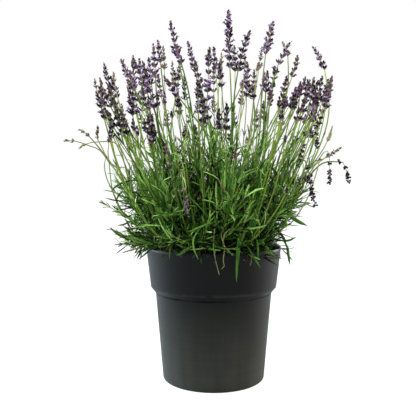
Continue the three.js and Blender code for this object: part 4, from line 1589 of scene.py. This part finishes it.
# %% Stems in front and between
# tip, length of the spike, all in mm, then the age and the share of open flowers, which is -1
# for a spike that is still in bud
MORE = [
    (-25, -120, 504, 22, 0.0, 0.2), (-18, -130, 478, 38, 0.0, 0.4),
    (20, -140, 464, 37, 0.0, 0.3), (-74, -150, 402, 12, 0.0, 0.1), (-68, -150, 378, 11, 0.3, 0.0),
    (33, -150, 390, 8, 0.4, 0.0), (15, 60, 589, 16, 1.0, 0.0), (-183, 30, 548, 15, 1.0, 0.0),
    (59, 60, 584, 20, 0.9, 0.0), (81, 30, 565, 13, 0.9, 0.0), (84, -50, 518, 12, 0.7, 0.0),
    (-189, -70, 502, 39, 0.1, 0.1), (-180, -30, 513, 31, 0.0, 0.1), (-207, -20, 526, 14, 0.9, 0.0),
    (-202, 0, 532, 12, 0.9, 0.0), (-151, 60, 584, 55, 0.0, 0.3), (-134, 20, 569, 60, 0.1, 0.3),
    (-124, 80, 585, 45, 0.0, 0.6), (-80, -80, 490, 16, 0.0, 0.2), (-94, -60, 492, 16, 0.0, 0.1),
    (-135, -100, 495, 40, 0.0, 0.7), (-157, -110, 470, 38, 0.0, 0.1), (-145, -120, 458, 35, 0.0, 0.1),
    (-164, -110, 439, 20, 0.0, 0.2), (-116, -60, 492, 17, 0.0, 0.0), (-107, -80, 481, 27, 0.5, 0.1),
    (-125, -130, 443, 14, 0.0, 0.3), (-107, -130, 443, 19, 0.2, 0.1), (-94, -140, 446, 30, 0.0, 0.5),
    (-71, 30, 550, 26, 0.0, 0.4), (-62, -80, 493, 23, 0.0, 0.1), (-66, -120, 456, 6, 0.0, 0.1),
    (-166, -100, 420, 6, 0.3, 0.1), (-77, -140, 408, 6, 0.0, 0.3), (-47, -120, 425, 7, 0.0, 0.4),
    (149, -30, 518, 20, 0.0, 0.2), (153, -80, 511, 49, 0.0, 0.2), (181, 20, 535, 34, 0.0, 0.3),
    (201, 50, 543, 34, 0.0, 0.3), (213, 30, 535, 33, 0.1, 0.1), (198, -20, 510, 33, 0.0, 0.4),
    (171, -60, 469, 21, 0.4, 0.1), (129, 0, 534, 35, 0.1, 0.2), (105, -100, 480, 14, 0.0, 0.0),
    (115, -110, 479, 14, 0.0, 0.0), (128, -90, 485, 17, 0.0, 0.1), (137, -90, 465, 19, 0.0, 0.1),
    (94, 40, 549, 26, 0.7, 0.0), (95, -60, 505, 22, 0.4, 0.1), (59, -40, 519, 25, 0.2, 0.4),
    (155, -100, 430, 6, 0.0, 0.0), (112, -120, 417, 6, 0.3, 0.2), (159, -50, 503, 23, 0.0, 0.2),
    (171, -50, 500, 23, 0.0, 0.3), (145, -90, 475, 28, 0.0, 0.1), (195, -70, 437, 24, 0.75, -1),
    (106, -130, 461, 16, 0.0, 0.2), (214, 60, 539, 36, 0.0, 0.1),
    (-182, -60, 542, 40, 0.0, 0.1), (143, -30, 563, 34, 0.3, 0.1), (213, 20, 535, 24, 0.1, 0.2),
    (113, -140, 336, 6, 0.1, 0.0),
    (-194, -30, 511, 34, 0.1, 0.1), (-184, -50, 502, 28, 0.0, 0.1), (-191, 30, 521, 34, 0.0, 0.2),
    (156, 30, 524, 24, 0.0, 0.3), (178, 50, 535, 24, 0.0, 0.3),
    (170, -70, 490, 22, 0.0, 0.3), (207, 0, 519, 24, 0.5, 0.1), (112, -100, 480, 12, 0.0, 0.0),
    (132, -90, 485, 14, 0.0, 0.0), (186, 10, 528, 26, 0.0, 0.2), (168, 40, 540, 22, 0.1, 0.1),
    (204, 30, 522, 26, 0.0, 0.2), (-147, -100, 449, 16, 0.0, 0.0), (-119, -130, 432, 12, 0.0, 0.2),
]
print("stems in front and between:", len(MORE))

# %% Stems at the back
# tip and length of the spike, in mm
BACK = [
    (-60, 150, 560, 42), (60, 170, 548, 40), (0, 150, 585, 50), (-110, 120, 560, 44), (120, 110, 575, 40),
    (-180, 100, 500, 40), (190, 120, 500, 40), (-34, 40, 452, 36), (40, 90, 610, 44), (-90, 10, 590, 40),
    (90, 60, 600, 42), (0, 60, 600, 40), (-130, 60, 560, 40), (150, 30, 520, 36), (-20, 190, 500, 36),
    (90, 180, 500, 38), (-100, 170, 500, 36), (-150, 20, 540, 44), (10, 20, 560, 38), (60, 10, 560, 40),
    (-60, 190, 470, 36), (40, 200, 470, 34), (140, 160, 500, 38), (-150, 140, 490, 36), (-46, 100, 500, 34),
    (80, 120, 570, 40), (-80, 90, 580, 42), (160, 80, 520, 36), (0, 185, 530, 36), (-200, 60, 480, 34),
    (-40, 180, 440, 34), (20, 196, 430, 30), (70, 190, 445, 36), (110, 160, 450, 34), (-90, 180, 440, 32),
    (-130, 150, 445, 34), (170, 130, 450, 32), (-170, 110, 440, 30), (40, 150, 500, 40), (-20, 140, 505, 40),
    (100, 130, 510, 36), (-70, 120, 520, 40), (200, 70, 460, 30), (130, 60, 480, 34), (-120, 60, 470, 34),
]
print("stems at the back:", len(BACK))

# %% [markdown]
# Some stems bend under their own weight or were bent when the plant was moved. Each of them has
# its own points, like the leaves that stand out.

# %% Stems that bend
# marks of the whorls from the tip in mm, age, plumpness, style, points from the foot to the tip
BENT = [
    ((1.5,), 0.05, 1.2, "ball", [(90, -44, 300), (136, -70, 381), (145, -75, 400), (151, -80, 428)]),
    ((2, 8.5, 14, 24, 36), 0.05, 1.0, "ball", [
        (96, -50, 320), (150, -80, 436), (158, -84, 455), (165, -88, 443), (167, -90, 403)]),
    ((1.5, 6, 11.5, 20, 33, 48), 0.05, 1.0, "ball", [
        (90, -36, 290), (144, -60, 342), (184, -60, 398), (190, -60, 400), (193, -62, 392),
        (193, -66, 347)]),
    ((2, 8, 14.5, 21), 0.25, 1.05, "closed", [
        (-60, -60, 300), (-70, -110, 380), (-58, -135, 392), (-47, -148, 375), (-42, -157, 340),
        (-40, -160, 305)]),
    ((14,), 0.9, 1.0, "closed", [
        (-48, -150, 362), (-46, -158, 351), (-45, -162, 339), (-44, -163, 325)]),
    ((2, 9, 16, 24, 32), 0.0, 0.9, "ball", [
        (80, -60, 290), (112, -100, 330), (126, -116, 356), (133, -120, 376), (141, -121, 405)]),
    ((1.5,), 0.5, 0.6, "open", [
        (-100, -20, 250), (-152, -30, 290), (-170, -35, 324), (-177, -40, 341), (-182, -45, 354),
        (-185, -50, 371), (-183, -55, 386), (-180, -60, 390)]),
    ((1.5, 6), 0.0, 0.85, "open", [
        (-110, -10, 250), (-156, -30, 293), (-171, -34, 323), (-175, -39, 341), (-177, -43, 364),
        (-178, -47, 384), (-179, -51, 399), (-176, -56, 413), (-176, -60, 421)]),
    ((1.5, 4, 7, 10), 0.5, 1.15, "bud", [
        (-128, -30, 297), (-138, -32, 321), (-148, -34, 356), (-154, -35, 383), (-158, -37, 400),
        (-162, -39, 410), (-169, -41, 416), (-178, -43, 418), (-195, -45, 417), (-208, -46, 416),
        (-219, -48, 412), (-226, -50, 407)]),
    ((1.5, 5, 9, 13, 20), 0.75, 0.7, "open", [
        (-132, -50, 308), (-147, -51, 335), (-162, -53, 362), (-174, -54, 382), (-183, -56, 396),
        (-189, -57, 409), (-195, -59, 422), (-194, -60, 440)]),
    ((1.5,), 0.2, 1.0, "ball", [
        (60, -50, 240), (118, -50, 270), (136, -50, 284), (160, -50, 323), (172, -55, 361),
        (178, -60, 386)]),
    ((1.5, 6), 0.2, 0.8, "ball", [
        (60, -60, 240), (108, -66, 270), (126, -76, 300), (142, -90, 334), (148, -100, 358)]),
    ((1.5, 6), 0.0, 0.8, "ball", [
        (60, -66, 240), (104, -84, 262), (122, -100, 296), (134, -104, 330), (137, -104, 352)]),
]
print("bent stems:", len(BENT))

# %% [markdown]
# A stem of the first two tables rises from the tip of a leafy side twig that no other stem has
# used, or straight from the crown if it stands in front. It turns up on the way, bows a little
# and ends nearly upright.

# %% Find a foot and a line for a stem
# a stem whose tip stands further forward than this rises straight from the crown
FROM_THE_CROWN = -0.095
# where such a stem starts: this far forward and this high
CROWN_Y, CROWN_Z = -0.075, 0.245
# the lines stay this much further in than a copy may stand
INSIDE = 2.5 * MM
twig_tips = np.array([tip for tip, _ in shoot_tips])
twig_ways = np.array([way for _, way in shoot_tips])
taken = set()


def foot_for(tip):
    """A foot for the stem with this tip, and the direction in which it leaves: the tip of the
    free side twig that is nearest to a point some way down from the stem's own tip."""
    wanted = np.array((tip[0] * 0.62, tip[1] * 0.70, 0.27 + rng.uniform(0, 0.05)))
    order = np.argsort(np.linalg.norm(twig_tips - wanted, axis=1))
    pick = next(int(i) for i in order if int(i) not in taken)
    taken.add(pick)
    if tip[1] < FROM_THE_CROWN:
        foot = np.array((0.5 * tip[0], CROWN_Y, CROWN_Z))
        return foot, unit(tip - foot + np.array((0, -0.10, -0.05)))
    return twig_tips[pick] - twig_ways[pick] * 12 * MM, twig_ways[pick]


def rising_line(foot, leave, tip):
    """A smooth curve from the foot to the tip, kept inside the frame's box."""
    span = np.linalg.norm(tip - foot)
    aim = unit(unit(tip - foot) + np.array((0, 0, 1.1)))
    t = np.linspace(0, 1, 24)[:, None]
    near, far = foot + leave * 0.3 * span, tip - aim * 0.35 * span
    line = (1 - t) ** 3 * foot + 3 * (1 - t) ** 2 * t * near
    line = line + 3 * (1 - t) * t ** 2 * far + t ** 3 * tip
    bow = rng.normal(0, 3.5 * MM, 3)
    return smooth_line(np.clip(line + np.sin(math.pi * t) * bow, LOWEST + INSIDE, HIGHEST - INSIDE))


print("side twigs that a stem can rise from:", len(twig_tips))

# %% Grow the other stems
GROUPS = 8
# whorls of a spike in bud stand close together
BUD_MARKS = np.arange(1.5, 60, 3.5)
bunches = [Bunch() for _ in range(GROUPS)]


def bunch_at(place):
    """The bunch for this eighth of the plant, seen from above."""
    return bunches[int((math.atan2(place[1], place[0]) / math.tau % 1) * GROUPS)]


plan = [(*row, 1.05) for row in MORE]
plan += [(*row, rng.choice((0, 0, 0.2, 0.8)), 0.3, 0.9) for row in BACK]
for x, y, z, spike, age, bloom, stout in plan:
    tip = np.array(Vector((x, y, z)) * MM)
    line = rising_line(*foot_for(tip), tip)
    pairs = rng.uniform((0.1, 0.35), (0.25, 0.55))
    if bloom < 0:
        flower_stem(bunch_at(tip), line, spike * MM, age, 0.0, 1.0, pairs, BUD_MARKS, "bud")
    else:
        plump = 0.8 if age > 0.5 else 1.0
        flower_stem(bunch_at(tip), line, spike * MM, age, bloom, plump, pairs, stout=stout)
for marks, age, plump, style, points in BENT:
    line = smooth_line(np.array(points) * MM)
    flower_stem(bunch_at(points[-1]), line, marks[-1] * MM, age, 0.0, plump, (0.2,), marks, style)
for index, bunch in enumerate(bunches, 1):
    piece = bunch.write(f"more_spikes_{index}")
    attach(piece, "root")
print("other stems:", len(plan) + len(BENT))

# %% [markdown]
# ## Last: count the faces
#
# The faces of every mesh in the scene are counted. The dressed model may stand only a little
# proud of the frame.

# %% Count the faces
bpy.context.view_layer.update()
total = sum(len(thing.data.polygons) for thing in bpy.data.objects if thing.type == "MESH")
print("faces in all:", total)
